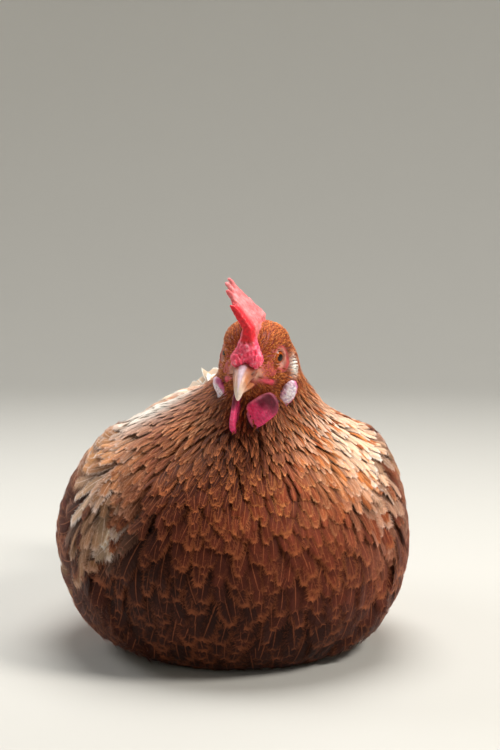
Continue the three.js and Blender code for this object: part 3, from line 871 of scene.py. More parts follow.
def skin_tint(p):
    """The skin's colour: the coat's own, darkened by painted shade where feathers cover it, and the
    face's parts.
    """
    tint = markings(p, np.full((len(p), 3), 0.5))[0] * SHADE_UNDER_COAT
    near = near_head(p)
    q = in_head(p[near])
    face = tint[near]

    def paint(colour, share):
        nonlocal face
        face = mix(face, FACE[colour], np.clip(share, 0, 1)[:, None])

    on_skull = step(30, 22, np.linalg.norm(q * (1, 0.9, 1), axis=-1))
    paint("face", 0.55 * on_skull)
    paint("face", bare_face(q))
    for sign in (1, -1):
        away, angle = eye_polar(q, sign)
        paint("lid", step(10.5, 9.0, away) * step(LID["opening"] + 12, LID["opening"] + 5, angle))
    paint("gape", step(0.9, 0.2, gape_form(q)))
    for sign in (1, -1):  # horny skin round the nostrils
        paint("nostril", spot(q, (7.5 * sign, -21.5, -5), (3.4, 4.2, 3.2)) * 1.1)
    cere = step(1.4, 0.3, cere_form(q))
    paint("cere", cere)
    # Painted highlights: whitish pink on the crests of the cere's wrinkles.
    paint("cere_crest_highlight", 0.75 * cere * step(0.75, 0.1, cere_hollows(q)))
    comb = step(1.0, 0.2, comb_form(q)) * step(9, 17, q[:, 2] + 1.5 * ripple(q, 5, 63))
    paint("comb", comb)
    # Painted light: behind its red front edge the comb's blade is pale pink, as where light falls on it.
    paint("comb_painted_light", comb * step(-20, -12, q[:, 1]) * mix(0.6, 0.95, step(-1, 1, ripple(q, 3, 64))))
    for side in SIDES:
        _, y, z = on_wattle(q, side)
        wattle = step(0.8, 0.1, wattle_form(side)(q))
        paint("wattle", wattle)
        # Painted highlights: pale pink mottles over the wattles.
        paint("wattle_highlight", wattle * 0.4 * step(-0.2, 0.9, ripple(q, 0.9, 65)))
        # Painted shadow: the upper part of each wattle, under the bill and cheek feathers, is dark
        # maroon.
        paint("wattle_shadow", wattle * step(-0.05, 0.6, z + 0.1 * ripple(q, 4, 62)) * 0.88)
        reach = np.maximum(np.hypot(y, z), 0.34 + 0.72 * y + 0.69 * z)
        paint("wattle_rim", wattle * step(0.76, 0.9, reach) * step(-0.3, 0.2, y) * 0.9)
        lobe, w = step(0.8, 0.1, earlobe_form(side)(q)), on_earlobe(q, side)
        paint("lobe", lobe)
        paint("lobe_deep", lobe * step(0.34, 0.05, lobe_wrinkles(w)) * 0.7)
        y, z = w[:, 1] / EARLOBE["width"], w[:, 2] / EARLOBE["height"]
        outer = np.maximum(step(0.2, 0.8, y * SIDES[side] + 0.3), step(-0.5, -0.9, z))
        rim = step(0.6, 0.85, np.hypot(y, z) + 0.08 * ripple(q, 3, 61))
        paint("lobe_rim", lobe * rim * mix(0.25, 0.9, outer))
    tint[near] = face
    return tint


# ------------------------------------------------------------------ the skin

axes = [graded(*span, *fine) for span, fine in zip(SKIN_SPAN, zip(*HEAD_BLOCK))]
skin_points, skin_quads = surface(skin_form, axes)
skin = painted("skin", skin_points, skin_quads, skin_tint(skin_points), skin_look(), "face_skin")
FLESH = ["trunk", "neck", "head", "tail", "comb"]
FLESH += [f"{part}_{side}" for part in ("wing", "thigh", "wattle", "earlobe") for side in SIDES]
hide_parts(*FLESH)


# ------------------------------------------------------------------ feathers


def scatter(keep, count, seed):
    """Roots spread over the skin at least their own spacing apart, where `keep` allows them."""
    rng = np.random.default_rng(seed)
    corners = skin_points[skin_quads]
    middle = corners.mean(1)
    diagonals = corners[:, 2] - corners[:, 0], corners[:, 3] - corners[:, 1]
    area = np.linalg.norm(np.cross(*diagonals), axis=1)
    weight = area / feather_spacing(middle) ** 2 * keep(middle)
    chosen = rng.choice(len(middle), count, p=weight / weight.sum())
    u, v = rng.random((2, count, 1))
    a, b, c, d = corners[chosen].transpose(1, 0, 2)
    points = mix(mix(a, b, u), mix(d, c, u), v)
    gap = feather_spacing(points)
    kept, kept_gap = np.empty((count, 3)), np.empty(count)
    found = 0
    for point, own in zip(points, gap):
        near = ((kept[:found] - point) ** 2).sum(1) < (0.5 * (kept_gap[:found] + own)) ** 2
        if not near.any():
            kept[found], kept_gap[found] = point, own
            found += 1
    return kept[:found]


def walk(level, roots, aim, lengths, rise, knots=9):
    """Shafts that run over a surface the way `aim` points, at the heights that `rise` gives."""
    p, path, normals = roots.copy(), [], []
    for k in range(knots + 1):
        for _ in range(2):
            value, slope = slopes(level, p)
            steep = np.linalg.norm(slope, axis=-1, keepdims=True)
            normal = slope / np.maximum(steep, 0.2)
            p = p + normal * (rise(k / knots) - value)[:, None]
        heading = aim(p)
        heading = unit(heading - normal * (heading * normal).sum(-1, keepdims=True))
        path.append(p)
        normals.append(normal)
        p = p + heading * (lengths / knots)[:, None]
    return np.stack(path, 1), np.stack(normals, 1)


def unwrap(roots, middle=70, front=-120, length=340):
    """Places on a flat unwrap of the hen: round its long axis at height `middle`, and along it."""
    around = np.arctan2(roots[:, 0], roots[:, 2] - middle) / (2 * math.pi) + 0.5
    along = (roots[:, 1] - front) / length
    return np.stack([around, along], 1)


def unwrap_head(roots):
    """The same for the head, round the line from the bill to the nape."""
    q = in_head(roots)
    around = np.arctan2(q[:, 0], q[:, 2] + 8) / (2 * math.pi) + 0.5
    along = (q[:, 1] - 0.4 * q[:, 2] + 40) / 90
    return np.stack([around, along], 1)


PATCH = 0.003  # each feather's share of the baking map
PIECE_LIMIT = 190000  # triangles


def plumage(name, shafts, normals, width, taper, tint, edge, look, slot, *, barbs, seed, **shape):
    """Vanes as one piece, or halved again and again until no piece has too many triangles."""
    lists = (shafts, normals, width, taper, tint, edge)
    count = len(shafts)
    if count <= max(1, PIECE_LIMIT // (6 * barbs)):
        vanes(name, *lists, look, slot, barbs=barbs, seed=seed, **shape)
        return
    for number, part in enumerate((slice(0, count // 2), slice(count // 2, None))):
        plumage(f"{name}_{number + 1}", *(each[part] for each in lists), look, slot, barbs=barbs,
                seed=seed + number, **shape)


def vanes(name, shafts, normals, width, taper, tint, edge, look, slot, *, barbs, seed, inner,
          camber=0.16, loose=0.13, ragged=0.14, uneven=0.12, chart=unwrap):
    """Feathers as solid vanes: an unbroken web beside the shaft, and one pointed barb after another.

    `width` is half the vane's width and `taper` runs from a round tip, 0, to a pointed one, 1.
    """
    rng = np.random.default_rng(seed)
    count, knots = shafts.shape[:2]
    s = (np.arange(barbs + 1) / barbs) ** 0.85
    spots = s * (knots - 1)
    k = np.minimum(spots.astype(int), knots - 2)
    t = (spots - k)[None, :, None]
    shaft = mix(shafts[:, k], shafts[:, k + 1], t)
    normal = unit(mix(normals[:, k], normals[:, k + 1], t))
    ahead = unit(np.gradient(shaft, axis=1))
    side = np.cross(ahead, normal)
    tilt = rng.normal(0, loose, (count, 1, 1))
    side, normal = unit(side + normal * tilt), unit(normal - side * tilt)

    w, taper = width[:, None], taper[:, None]
    length = np.linalg.norm(np.diff(shafts, axis=1), axis=-1).sum(1)[:, None]
    bow = rng.normal(0, 0.35 * loose, (count, 1)) * length * s**2
    shaft = shaft + side * bow[..., None]
    base = 0.4 + 0.6 * step(0, 0.4, s)
    round_tip = np.sqrt(np.maximum(0, 1 - np.clip((s - 0.45) / 0.55, 0, 1) ** 2 * 0.97))
    pointed = 1 - np.clip((s - 0.25) / 0.75, 0, 1) ** 1.5 * 0.97
    profile = base * mix(round_tip, pointed, taper)
    reach = w * profile
    lean = mix(0.6, 0.95, s) * (1 + 0.9 * taper)

    def vertex(a, row, stretch):
        """Points at a share `a` of the vane's width from the shaft, leaning forward with the barbs."""
        out = a * reach[:, row] * stretch
        fore = np.abs(out) * lean[:, row]
        droop = camber * a * a * reach[:, row]
        return (
            shaft[:, row]
            + side[:, row] * out[..., None]
            + ahead[:, row] * fore[..., None]
            - normal[:, row] * droop[..., None]
        )

    rows, mids = np.arange(barbs + 1), np.arange(barbs)
    even = np.ones((count, barbs + 1))
    ridge = shaft + normal * (0.05 * reach)[..., None]
    columns, blocks = [(ridge, 0 * even, rows)], []
    for sign in (1, -1):
        split = np.where(rng.random((count, barbs + 1)) < 0.7 * ragged, 0.45, 1.0)
        web = inner * split * (1 + 0.6 * ragged * rng.uniform(-1, 1, (count, barbs + 1)))
        columns.append((vertex(sign * web, rows, even), sign * inner * even, rows))
        uncombed = 1 + ragged * rng.uniform(-1, 1, (count, barbs))
        tip = vertex(sign * even[:, :-1], mids, uncombed)
        tip += ahead[:, mids] * (0.5 * length / barbs)[..., None]
        columns.append((tip, sign * even[:, :-1], mids))
    points, across = (np.concatenate([column[k] for column in columns], 1) for k in (0, 1))
    row = np.concatenate([column[2] for column in columns])
    size = points.shape[1]
    for n, sign in enumerate((1, -1)):
        web = mids + (barbs + 1) + n * (2 * barbs + 1)
        tips = web + barbs + 1
        for a, b, c in ((mids, mids + 1, web + 1), (mids, web + 1, web), (web, web + 1, tips)):
            blocks.append(np.stack([a, b, c] if sign < 0 else [a, c, b], -1))
    faces = np.concatenate(blocks)
    faces = (faces[None] + (np.arange(count) * size)[:, None, None]).reshape(-1, 3)

    along = s[row]
    rim = np.minimum((1 - np.abs(across)) * profile[:, row], (1 - along) * (length / w) * 0.9)
    rim = rim + uneven * rng.uniform(-1, 2, (count, 1))
    seeds = np.repeat(rng.uniform(0, 100, (count, 1)), size, 1)
    vane = np.stack([across, along * length + 0 * across, seeds], -1)
    points[..., 2] = np.maximum(points[..., 2], FEATHER_REST)  # pressed flat by the floor
    # Painted shade: each feather is darker towards its root, where the feathers over it shade it.
    colours = tint[:, None] * mix(0.62, 1.06, step(0.3, 0.95, along))[None, :, None]
    edges = edge[:, None] + 0 * points
    flat, tint, edge, vane = (each.reshape(-1, 3) for each in (points, colours, edges, vane))
    piece = mesh_object(name, flat, faces, tint=tint, edge=edge, vane=vane, rim=rim.reshape(-1))
    place = np.clip(chart(shafts[:, 0]), 0.002, 0.998)[:, None]
    spots = place + PATCH * np.stack([across / 2, along - 0.5 + 0 * across], -1)
    layer = piece.data.uv_layers.new(name="OFBake")
    layer.data.foreach_set("uv", spots.reshape(-1, 2)[faces.ravel()].astype(np.float32).ravel())
    dress(piece, look, slot)


def turned_aim(aim, angles):
    """A way to point that is turned by each feather's own angle about the surface's normal."""

    def turned(p):
        way = unit(aim(p))
        normal = unit(slopes(coat, p)[1])
        return way * np.cos(angles)[:, None] + np.cross(normal, way) * np.sin(angles)[:, None]

    return turned


def downward(p):
    """The lie of the feathers below the head: away from a place over the crown."""
    return unit(p - np.array([6, -60, 218]))


def flow(p):
    """The lie of the feathers: back over the head, down from it on all sides, and along the wings."""
    q = in_head(p)
    back = unit((q - (0, -30, -2)) * (0.7, 1, 0.8)) @ HEAD_TURN.T
    way = mix(back, downward(p), step(24, 42, head_distance(p))[:, None])
    y, z = p[:, 1], p[:, 2]
    lower, upper = wing_edges(y)
    high = np.clip((z - lower) / np.maximum(upper - lower, 1), 0, 1)
    slant = np.radians(mix(27, -4, high) - 75 * step(0, -62, y))
    along = np.stack([0 * y, np.cos(slant), np.sin(slant)], -1)
    return unit(mix(way, along, wing_share(p)[:, None]))


def feather_spacing(p):
    """The distance from a feather to the next, which grows with the distance from the head."""
    spacings = ((12, 1.0), (24, 1.2), (36, 1.6), (62, 2.2), (84, 3.2), (110, 4.6), (150, 5.6))
    return np.interp(head_distance(p), *zip(*spacings))


def under_quills(p):
    """Where a wing's own flight feathers cover the skin."""
    y, z = p[:, 1], p[:, 2]
    front, back = QUILL_ENDS
    lower, upper = wing_edges(y)
    high = (z - lower) / np.maximum(upper - lower, 1)
    along = (y - front) / (back - front)
    return (along > QUILL_FROM) & (high < 0.72) & (high > 0.03) & (np.abs(p[:, 0]) > 44) & (y < back)


def clear_of_face(p):
    """Where feathers grow: not on the comb, lobes, wattles, bill or lids."""
    q = in_head(p)
    bare = np.minimum(comb_form(q), cere_form(q))
    for side in SIDES:
        bare = np.minimum(bare, np.minimum(wattle_form(side)(q), earlobe_form(side)(q)))
    bare = np.minimum(bare, gape_form(q) - 0.6)
    for sign in (1, -1):
        bare = np.minimum(bare, np.linalg.norm(q - eye_middle(sign), axis=-1) - 8.7)
    bill = np.linalg.norm((q - (0, -27, -6)) / (8.5, 12, 7.5), axis=-1) - 1
    return (bare > 0.5) & (bill > 0)


def clear_of_legs(p):
    """Where feathers grow: not in the hollows that the folded legs lie in."""
    foot = ((np.abs(p[:, 0]) - 37) / 36) ** 2 + ((p[:, 1] + 30) / 45) ** 2
    shank = (np.abs(np.abs(p[:, 0]) - LEG["x"]) < 14) & (p[:, 1] > -10) & (p[:, 1] < 95)
    return ~((p[:, 2] < 16) & ((foot < 1) | shank))


def region(low, high):
    """Feathers whose roots lie between two distances from the head, outside the flight feathers."""

    def keep(p):
        away = head_distance(p)
        return (away >= low) & (away < high) & ~under_quills(p) & clear_of_face(p) & clear_of_legs(p)

    return keep


def grow(name, keep, candidates, look, slot, *, long, wide, taper, seed, lift, rise=1.15,
         sparse=None, level=coat, lie=flow, **shape):
    """A coat of feathers over one region of the skin, sized by their spacing.

    Each shaft climbs from the skin to `lift` over the level, the later the greater `rise` is.
    """
    rng = np.random.default_rng(seed)
    roots = scatter(keep, candidates, seed)
    if sparse is not None:
        roots = roots[rng.random(len(roots)) > sparse(roots)]
    gap = feather_spacing(roots)
    size = rng.uniform(0.78, 1.2, len(roots))
    lengths = gap * long(roots) * size
    depth = coat_depth(roots) * 0.85
    tip = rng.uniform(0.1, 1, len(roots)) * lift * np.minimum(gap / 6, 1)
    angles = rng.normal(0, 0.15, len(roots)) + 0.16 * ripple(roots, 4 * gap.mean(), seed + 7)
    aim = turned_aim(lie, angles)
    shafts, normals = walk(level, roots, aim, lengths, lambda s: -depth * (1 - s) ** rise + tip * s**3)
    tint, edge = markings(shafts[:, 5], rng.random((len(roots), 3)))
    plumage(name, shafts, normals, gap * wide(roots) * size, taper(roots), tint, edge, look, slot,
            seed=seed + 500, **shape)


def from_head(near, far, low, high):
    """A value that runs from `low` to `high` between two distances from the head."""
    return lambda p: mix(low, high, step(near, far, head_distance(p)))


def always(value):
    """The same value for every feather."""
    return lambda p: np.full(len(p), float(value))


soft = feather_look("soft_feather", fringe=0.4)
narrow = feather_look("hackle_feather", fringe=0.36, streaks=3.2, gloss=0.5)
tiny = feather_look("head_feather", fringe=0.4, streaks=5)
firm = feather_look("quill_feather", fringe=0.14, streaks=1.8, gloss=0.5)

grow(
    "feathers_head", region(0, 25), 30000, tiny, "head_feathers",
    long=always(3.2), wide=always(0.48), taper=always(0.6), seed=101, lift=0.6, sparse=bristle_share,
    barbs=6, inner=0.55, chart=unwrap_head,
)
grow(
    "feathers_hackle", region(25, 84), 52000, narrow, "hackle_feathers",
    long=from_head(25, 60, 5.0, 7.4), wide=from_head(25, 80, 0.58, 1.12),
    taper=from_head(38, 74, 0.95, 0.12), seed=102, lift=0.9, rise=2.0,
    barbs=26, inner=0.5, camber=0.1, loose=0.08, ragged=0.2,
)
grow(
    "feathers_body", region(84, 999), 40000, soft, "body_feathers",
    long=from_head(84, 130, 6.6, 6.0), wide=from_head(84, 130, 1.12, 1.24),
    taper=from_head(84, 120, 0.1, 0.03), seed=103, lift=1.3, rise=2.0,
    barbs=44, inner=0.52, camber=0.06, loose=0.08, ragged=0.28,
)


def flank(p):
    """The level of the feathers that come out from under the wing's lower edge."""
    return most(flesh(p), BELLY_REST - p[..., 2], 6)


def below_wing(p):
    """The strip along the lower edge of each wing."""
    y, z = p[:, 1], p[:, 2]
    lower, _ = wing_edges(y)
    return (np.abs(p[:, 0]) > 30) & (y > -20) & (y < 150) & (z > lower - 12) & (z < lower + 26)


grow(
    "feathers_flank", below_wing, 5000, soft, "body_feathers",
    long=always(4.8), wide=always(0.92), taper=always(0.12), seed=104, lift=1.6, level=flank,
    lie=downward, barbs=32, inner=0.5, ragged=0.3,
)


# ------------------------------------------------------------------ wings: flight feathers and coverts


def flank_point(sign, y, z, level):
    """The points of one flank over places given from the side, at a level of the coat."""
    inner, outer = np.full(y.shape, 12.0), np.full(y.shape, 126.0)
    for _ in range(24):
        x = (inner + outer) / 2
        inside = coat(np.stack([sign * x, y, z], -1)) < level
        inner, outer = np.where(inside, x, inner), np.where(inside, outer, x)
    return np.stack([sign * (inner + outer) / 2, y, z], -1)


QUILL = {"inner": 0.93, "loose": 0.05, "uneven": 0.02}  # a firm vane, tidier than the coat's


def row_of_shafts(seed, count, roots, tips, waver, knots=12):
    """Shares across a row of feathers, steps along their shafts, and where the shafts run."""
    rng = np.random.default_rng(seed)
    share = np.linspace(0, 1, count)[:, None]
    t = np.linspace(0, 1, knots)[None]
    along = mix(mix(*roots, share), mix(*tips, share) + rng.normal(0, waver, (count, 1)), t)
    return rng, share, t, along


def wing_row(side, name, count, rises, roots, tips, half, levels, barbs, seed):
    """One row of flight feathers or great coverts; each pair runs from the lowest to the highest."""
    rng, share, t, along = row_of_shafts(seed, count, roots, tips, 0.006)
    high = mix(*rises, share) + 0.035 * t**2
    y = mix(*QUILL_ENDS, along)
    lower, upper = wing_edges(y)
    z = lower + (upper - lower) * np.sin(np.clip(high, 0, 1) * math.pi / 2)
    level = mix(*levels, share) - 3.0 * (1 - t) ** 2
    points = flank_point(SIDES[side], y, z, level)
    normals = unit(slopes(coat, points.reshape(-1, 3))[1]).reshape(points.shape)
    draws = rng.random((count, 3))
    tint, edge = markings(points[:, points.shape[1] // 2], draws * (1, 1, 0.6) + (0, 0, 0.2))
    plumage(f"{name}_{side}", points, normals, mix(*half, share[:, 0]), np.full(count, 0.12), tint, edge,
            firm, "wing_feathers", barbs=barbs, seed=seed, camber=0.1, ragged=0.03, **QUILL)


WING_ROWS = (
    # name, count, heights, roots and tips as shares of the quills' stretch, half widths, levels, barbs
    ("primaries", 5, (0.03, 0.16), (0.3, 0.3), (1.0, 0.95), (8, 9), (-3.2, -2.6), 64),
    ("secondaries", 10, (0.15, 0.74), (0.26, 0.34), (0.93, 0.76), (10, 12), (-2.2, 0), 64),
    ("great_coverts", 10, (0.05, 0.76), (0.16, 0.2), (0.5, 0.56), (8, 10), (-0.8, 0.8), 48),
)
for number, side in enumerate(SIDES):
    for layer, row in enumerate(WING_ROWS):
        wing_row(side, *row, 210 + 10 * layer + number)


# ------------------------------------------------------------------ tail

# Half a section of the tail's tent: the turn, the share of its half width, the share of its height.
RING = (
    (0, 0.06, 1),
    (0.33, 0.5, 0.8),
    (0.66, 0.86, 0.4),
    (1, 1, 0.12),
    (1.15, 0.8, 0),
    (1.35, 0.4, 0.18),
    (1.6, 0, 0.2),
)


def tail_point(sign, y, around, inset):
    """A point of the tail's tent: 0 is its ridge, 1 its lower edge, and on to 1.6 underneath."""
    stations, (turns, outs, ups) = np.array(TAIL, float).T, zip(*RING)
    ridge, floor, half = (np.interp(y, stations[0], column) for column in stations[1:])
    x = np.interp(around, turns, outs) * half
    z = floor + np.interp(around, turns, ups) * (ridge - floor)
    middle = (ridge + floor) / 2
    squeeze = 1 - inset / half
    return np.stack([sign * x * squeeze, y + 0 * x, middle + (z - middle) * squeeze], -1)


def tail_row(side, name, count, turns, roots, tips, half, insets, barbs, look, seed):
    """One row of the tail's feathers; each pair runs from the topmost feather to the lowest."""
    rng, share, t, y = row_of_shafts(seed, count, roots, tips, 1.2)
    around = mix(*turns, share) + 0 * t
    inset = mix(*insets, share) + 5 * (1 - t) ** 2
    sign = SIDES[side]
    points = tail_point(sign, y, around, inset)
    beside = tail_point(sign, y, around + 0.02, inset) - tail_point(sign, y, around - 0.02, inset)
    behind = tail_point(sign, y + 0.5, around, inset) - tail_point(sign, y - 0.5, around, inset)
    normals = unit(np.cross(beside, behind)) * sign
    draws = rng.random((count, 3))
    tint = mix(mix(CREAM, BUFF, 0.7 * draws[:, :1]), RUST, 0.2 * (draws[:, 1:2] > 0.65))
    edge = np.tile(WHITE, (count, 1))
    plumage(f"{name}_{side}", points, normals, mix(*half, share[:, 0]), np.full(count, 0.1), tint, edge,
            look, "tail_feathers", barbs=barbs, seed=seed, camber=0.08, ragged=0.04, **QUILL)


# The layers inside the tent: how many feathers, the last turn, the tip and the inset.
TAIL_FILLING = ((6, 1.0, 210, 5), (6, 1.4, 209, 9), (5, 1.5, 208, 13), (4, 1.5, 207, 18))
TAIL_ROWS = [
    # name, count, turns, roots, tips, half widths, insets, barbs, look, seed
    ("rectrices", 12, (0.03, 0.95), (98, 100), (212, 200), (13, 11), (0.3, 3.5), 72, firm, 310),
    *(
        (f"tail_filling_{layer}", count, (0.05, last), (98, 100), (tip, tip - 12), (10, 10),
         (inset, inset + 1), 52, soft, 350 + 10 * layer)
        for layer, (count, last, tip, inset) in enumerate(TAIL_FILLING)
    ),
    ("tail_coverts", 6, (0.04, 0.95), (88, 92), (168, 150), (11, 10), (-0.6, 0.4), 52, soft, 320),
    ("tail_root_coverts", 6, (0.1, 1.0), (82, 84), (142, 128), (11, 10), (-1.2, -0.4), 52, soft, 330),
    ("undertail", 6, (1.02, 1.55), (92, 94), (182, 190), (11, 12), (0.5, 2.5), 52, soft, 340),
]
for number, side in enumerate(SIDES):
    for *row, seed in TAIL_ROWS:
        tail_row(side, *row, seed + number)


# ------------------------------------------------------------------ eyes and bill


def paint_by(values, stops):
    """Colours along a list of (value, colour) stops."""
    places = [stop[0] for stop in stops]
    return np.stack([np.interp(values, places, [stop[1][c] for stop in stops]) for c in range(3)], -1)


CORNEA = 0.35  # how far it is raised
IRIS = [
    # degrees from the middle of the pupil, and the colour there
    (0, srgb(8, 6, 6)),
    (16, srgb(8, 6, 6)),
    (17.5, srgb(130, 60, 20)),
    (21, srgb(196, 96, 28)),
    (27, srgb(176, 78, 22)),
    (30.5, srgb(48, 20, 10)),
    (34, srgb(40, 20, 14)),
    (180, srgb(90, 60, 50)),
]


def make_eye(side):
    """An eyeball with a raised cornea; its colours go by the angle from the pupil."""
    sign = SIDES[side]
    rings, sides = 72, 72
    angle = np.linspace(0, math.pi, rings)[1:-1, None]
    around = np.linspace(0, 2 * math.pi, sides, endpoint=False)[None]
    look = unit(gaze(sign))
    right = unit(np.cross(look, (0, 0, 1)))
    up = np.cross(right, look)
    radius = EYE["radius"] + CORNEA * step(0.62, 0.2, angle)
    sideways = np.sin(angle) * radius
    points = (
        look * (np.cos(angle) * radius + 0 * around)[..., None]
        + right * (sideways * np.cos(around))[..., None]
        + up * (sideways * np.sin(around))[..., None]
    ).reshape(-1, 3)
    points = np.concatenate([points, look[None] * (EYE["radius"] + CORNEA), -look[None] * EYE["radius"]])
    spread = np.degrees(np.arccos(np.clip(unit(points) @ look, -1, 1)))
    fibres = 0.12 * np.sin(23 * np.arctan2(points @ up, points @ right) + 2 * ripple(points, 1.2, 71))
    tint = paint_by(spread, IRIS) * (1 + fibres)[:, None]
    glass = Look(f"eye_{side}", Roughness=0.3, Specular_IOR_Level=0.05, Coat_Weight=0.4,
                 Coat_Roughness=0.04)
    glass.wire(Base_Color=glass.attribute("tint"))
    points, faces = on_head(points + eye_middle(sign)), closed_rings(rings - 2, sides)
    eye = painted(f"eye_ball_{side}", points, faces, tint, glass.material, "eye_glass")
    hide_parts("eye_" + side)


IVORY, TAN, HORN = srgb(246, 222, 204), srgb(198, 126, 84), srgb(156, 88, 66)
# A painted highlight for the bill's ridge, and painted shade for the nostrils' slits.
RIDGE_HIGHLIGHT, NOSTRIL_SHADE = srgb(228, 208, 226), srgb(50, 20, 16)


def roof(t):
    """The upper bill's section: a narrow ridge above and flat cutting edges below."""
    x, z = np.cos(t), np.sin(t)
    return x * (1 - 0.16 * np.maximum(z, 0) ** 2), np.where(z > 0, z * (1 + 0.04 * z), z * 0.78)


def keel(t):
    """The lower bill's section: flattened above and round below."""
    x, z = np.cos(t), np.sin(t)
    return x, np.where(z > 0, z * 0.6, z)


def bill_spot(p, sign, place, reach):
    """1 at a place on one side of the bill, falling to 0 about `reach` away."""
    x, y, z = place
    return spot(p, (sign * x, y, z), reach)[:, None]


def make_bill(horny):
    bare, faces = tube(smooth_stations(UPPER_BILL, 60), 48, roof)
    points = bare.copy()
    along = -bare[:, 1]
    tip = mix(TAN, IVORY, 0.5)
    tint = paint_by(along, [(12, HORN), (27, HORN), (35, TAN), (38.6, tip), (40.5, IVORY)])
    half_width = np.interp(along, (13, 24, 31, 36.6, 40.8), (7.4, 6.6, 4.9, 3.0, 0.5))
    # A painted highlight: a pale lilac stripe along the ridge of the upper bill.
    ridge = step(0.55, 0.2, np.abs(bare[:, 0]) / half_width) * step(24, 28, along)
    ridge = ridge * step(-14, -10, bare[:, 2])
    tint = mix(tint, RIDGE_HIGHLIGHT, 0.85 * ridge[:, None])
    for sign in (1, -1):  # the nostril: a slit under a small horny lid
        points = points + bill_spot(bare, sign, NOSTRIL_LID, (3, 3, 1.0)) * (sign * 0.3, 0, 0.15)
        points = points - bill_spot(bare, sign, NOSTRIL, (3, 2.4, 0.75)) * (sign * 1.4, 0, 0)
        # Painted shade inside the nostril's slit.
        tint = mix(tint, NOSTRIL_SHADE, bill_spot(bare, sign, NOSTRIL, (3, 2.0, 0.7)))
    upper = painted("bill_upper", on_head(points), faces, tint, horny, "beak_horn")
    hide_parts("beak_upper")

    points, faces = tube(smooth_stations(LOWER_BILL, 44), 40, keel)
    tint = paint_by(-points[:, 1], [(12, HORN), (29, TAN), (36, tip)])
    lower = painted("bill_lower", on_head(points), faces, tint, horny, "beak_horn")
    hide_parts("beak_lower")


for side in SIDES:
    make_eye(side)
horny = horn_look("horn", 0.34, 260.0)
make_bill(horny)


# ------------------------------------------------------------------ legs, folded under the belly


def along_toe(sign, spread, reach, z):
    """A place at a distance from the ankle along a toe that points `spread` degrees outwards."""
    angle = math.radians(spread)
    return (sign * (LEG["x"] + reach * math.sin(angle)), LEG["ankle"] - 4 - reach * math.cos(angle), z)


def scaled(stations, count, pitch):
    """Stations along a leg or toe whose radius swells once for every scute."""
    rows = smooth_stations(stations, count)
    travelled = np.concatenate([[0], np.cumsum(np.linalg.norm(np.diff(rows[:, :3], axis=0), axis=1))])
    rows[:, 3:] *= 0.93 + 0.1 * np.abs(np.sin(math.pi * travelled / pitch))[:, None]
    return rows


scaly = horn_look("scales", 0.5, 500.0)
PALE_YELLOW, DRY_HORN = srgb(222, 190, 120), srgb(196, 172, 138)
for side, sign in SIDES.items():
    toes = []
    for number, (spread, length) in enumerate(TOES, 1):
        tip = length + 3.2
        toes.append(tube(scaled([
            (*along_toe(sign, spread, 0, 4.5), 4.3, 4.2),
            (*along_toe(sign, spread, length * 0.5, 3.8), 3.7, 3.5),
            (*along_toe(sign, spread, length, 3.2), 3.1, 3.0),
            (*along_toe(sign, spread, tip - 0.6, 3.0), 1.8, 1.8),
        ], 64, 3.2), 22))
        points, faces = tube(smooth_stations([
            (*along_toe(sign, spread, tip - 1.2, 3.3), 1.9, 2.1),
            (*along_toe(sign, spread, length + 8, 3.0), 1.5, 1.6),
            (*along_toe(sign, spread, length + 11, 1.5), 0.5, 0.6),
        ], 18), 18)
        nail = painted(f"nail_{side}_{number}", points, faces, DRY_HORN, horny, "claw_horn")
        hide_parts(f"claw_{side}_{number}")
    points, faces = merged(toes)
    foot = painted(f"toes_{side}", points, faces, PALE_YELLOW, scaly, "leg_scales")
    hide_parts("foot_" + side)
    x, hock, ankle = sign * LEG["x"], LEG["hock"], LEG["ankle"]
    points, faces = tube(scaled([
        (x, hock, 7.4, 7.6, 6.6),
        (x, hock - 16, 6.2, 5.8, 5.6),
        (x, ankle, 5.8, 5.8, 5.4),
    ], 90, 4.2), 26)
    shank = painted(f"leg_{side}", points, faces, PALE_YELLOW, scaly, "leg_scales")
    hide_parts("shank_" + side)


# ------------------------------------------------------------------ floor, light and camera


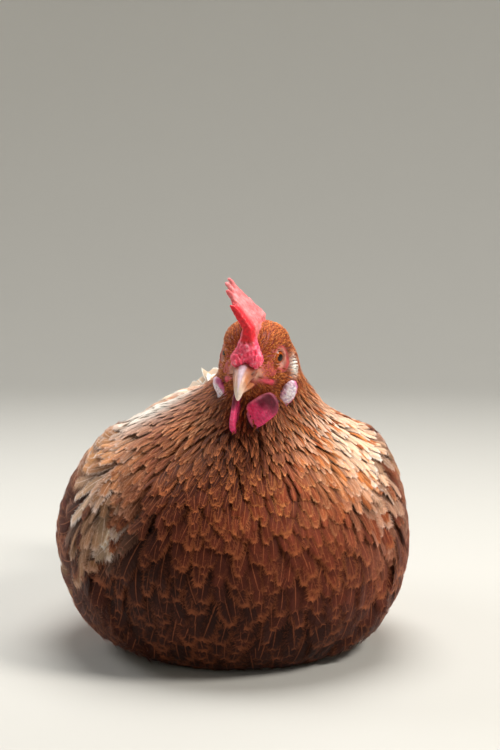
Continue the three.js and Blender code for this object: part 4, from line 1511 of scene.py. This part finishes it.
def make_floor():
    """A pale round floor that sweeps up into a wall all round, farther out than the camera."""
    flat, bend, sides = FLOOR["flat"], FLOOR["bend"], 96
    climb = np.linspace(0, math.pi / 2, 15)
    radius = np.concatenate([[0, 0.5], flat + bend * np.sin(climb), [flat + bend]])[:, None]
    height = np.concatenate([[0, 0], bend * (1 - np.cos(climb)), [bend + FLOOR["wall"]]])[:, None]
    around = np.linspace(0, 2 * math.pi, sides, endpoint=False)
    points = np.stack([radius * np.cos(around), radius * np.sin(around), height + 0 * around], -1)
    floor = mesh_object("floor", points.reshape(-1, 3) / MM, ring_quads(radius.size, sides))
    look = Look("floor", Roughness=0.85, Specular_IOR_Level=0.2, Base_Color=(*srgb(200, 199, 194), 1))
    floor.data.materials.append(look.material)


def area_light(name, place, aim, size, power, colour):
    """A round soft light that faces the place it aims at."""
    lamp = bpy.data.lights.new(name, "AREA")
    lamp.shape, lamp.size, lamp.energy, lamp.color = "DISK", size, power, colour
    light = bpy.data.objects.new(name, lamp)
    light.location = place
    light.rotation_euler = (Vector(aim) - Vector(place)).to_track_quat("-Z", "Y").to_euler()
    bpy.context.scene.collection.objects.link(light)


def make_camera():
    azimuth, elevation = math.radians(CAMERA["azimuth"]), math.radians(CAMERA["elevation"])
    away = Vector((
        math.sin(azimuth) * math.cos(elevation),
        -math.cos(azimuth) * math.cos(elevation),
        math.sin(elevation),
    ))
    lens = bpy.data.cameras.new("camera")
    lens.lens = CAMERA["lens"]
    lens.clip_start, lens.clip_end = 0.05, 20
    camera = bpy.data.objects.new("camera", lens)
    target = Vector(CAMERA["target"]) * MM
    camera.location = target + away * CAMERA["distance"] * MM
    camera.rotation_euler = (-away).to_track_quat("-Z", "Y").to_euler()
    bpy.context.scene.collection.objects.link(camera)
    bpy.context.scene.camera = camera


make_floor()
for light in LIGHTS:
    area_light(*light)
world = bpy.data.worlds.new("studio")
world.use_nodes = True
background = world.node_tree.nodes["Background"]
background.inputs["Color"].default_value = (0.86, 0.9, 0.92, 1)
background.inputs["Strength"].default_value = 0.08
bpy.context.scene.world = world
bpy.context.scene.view_settings.view_transform = "Standard"
make_camera()
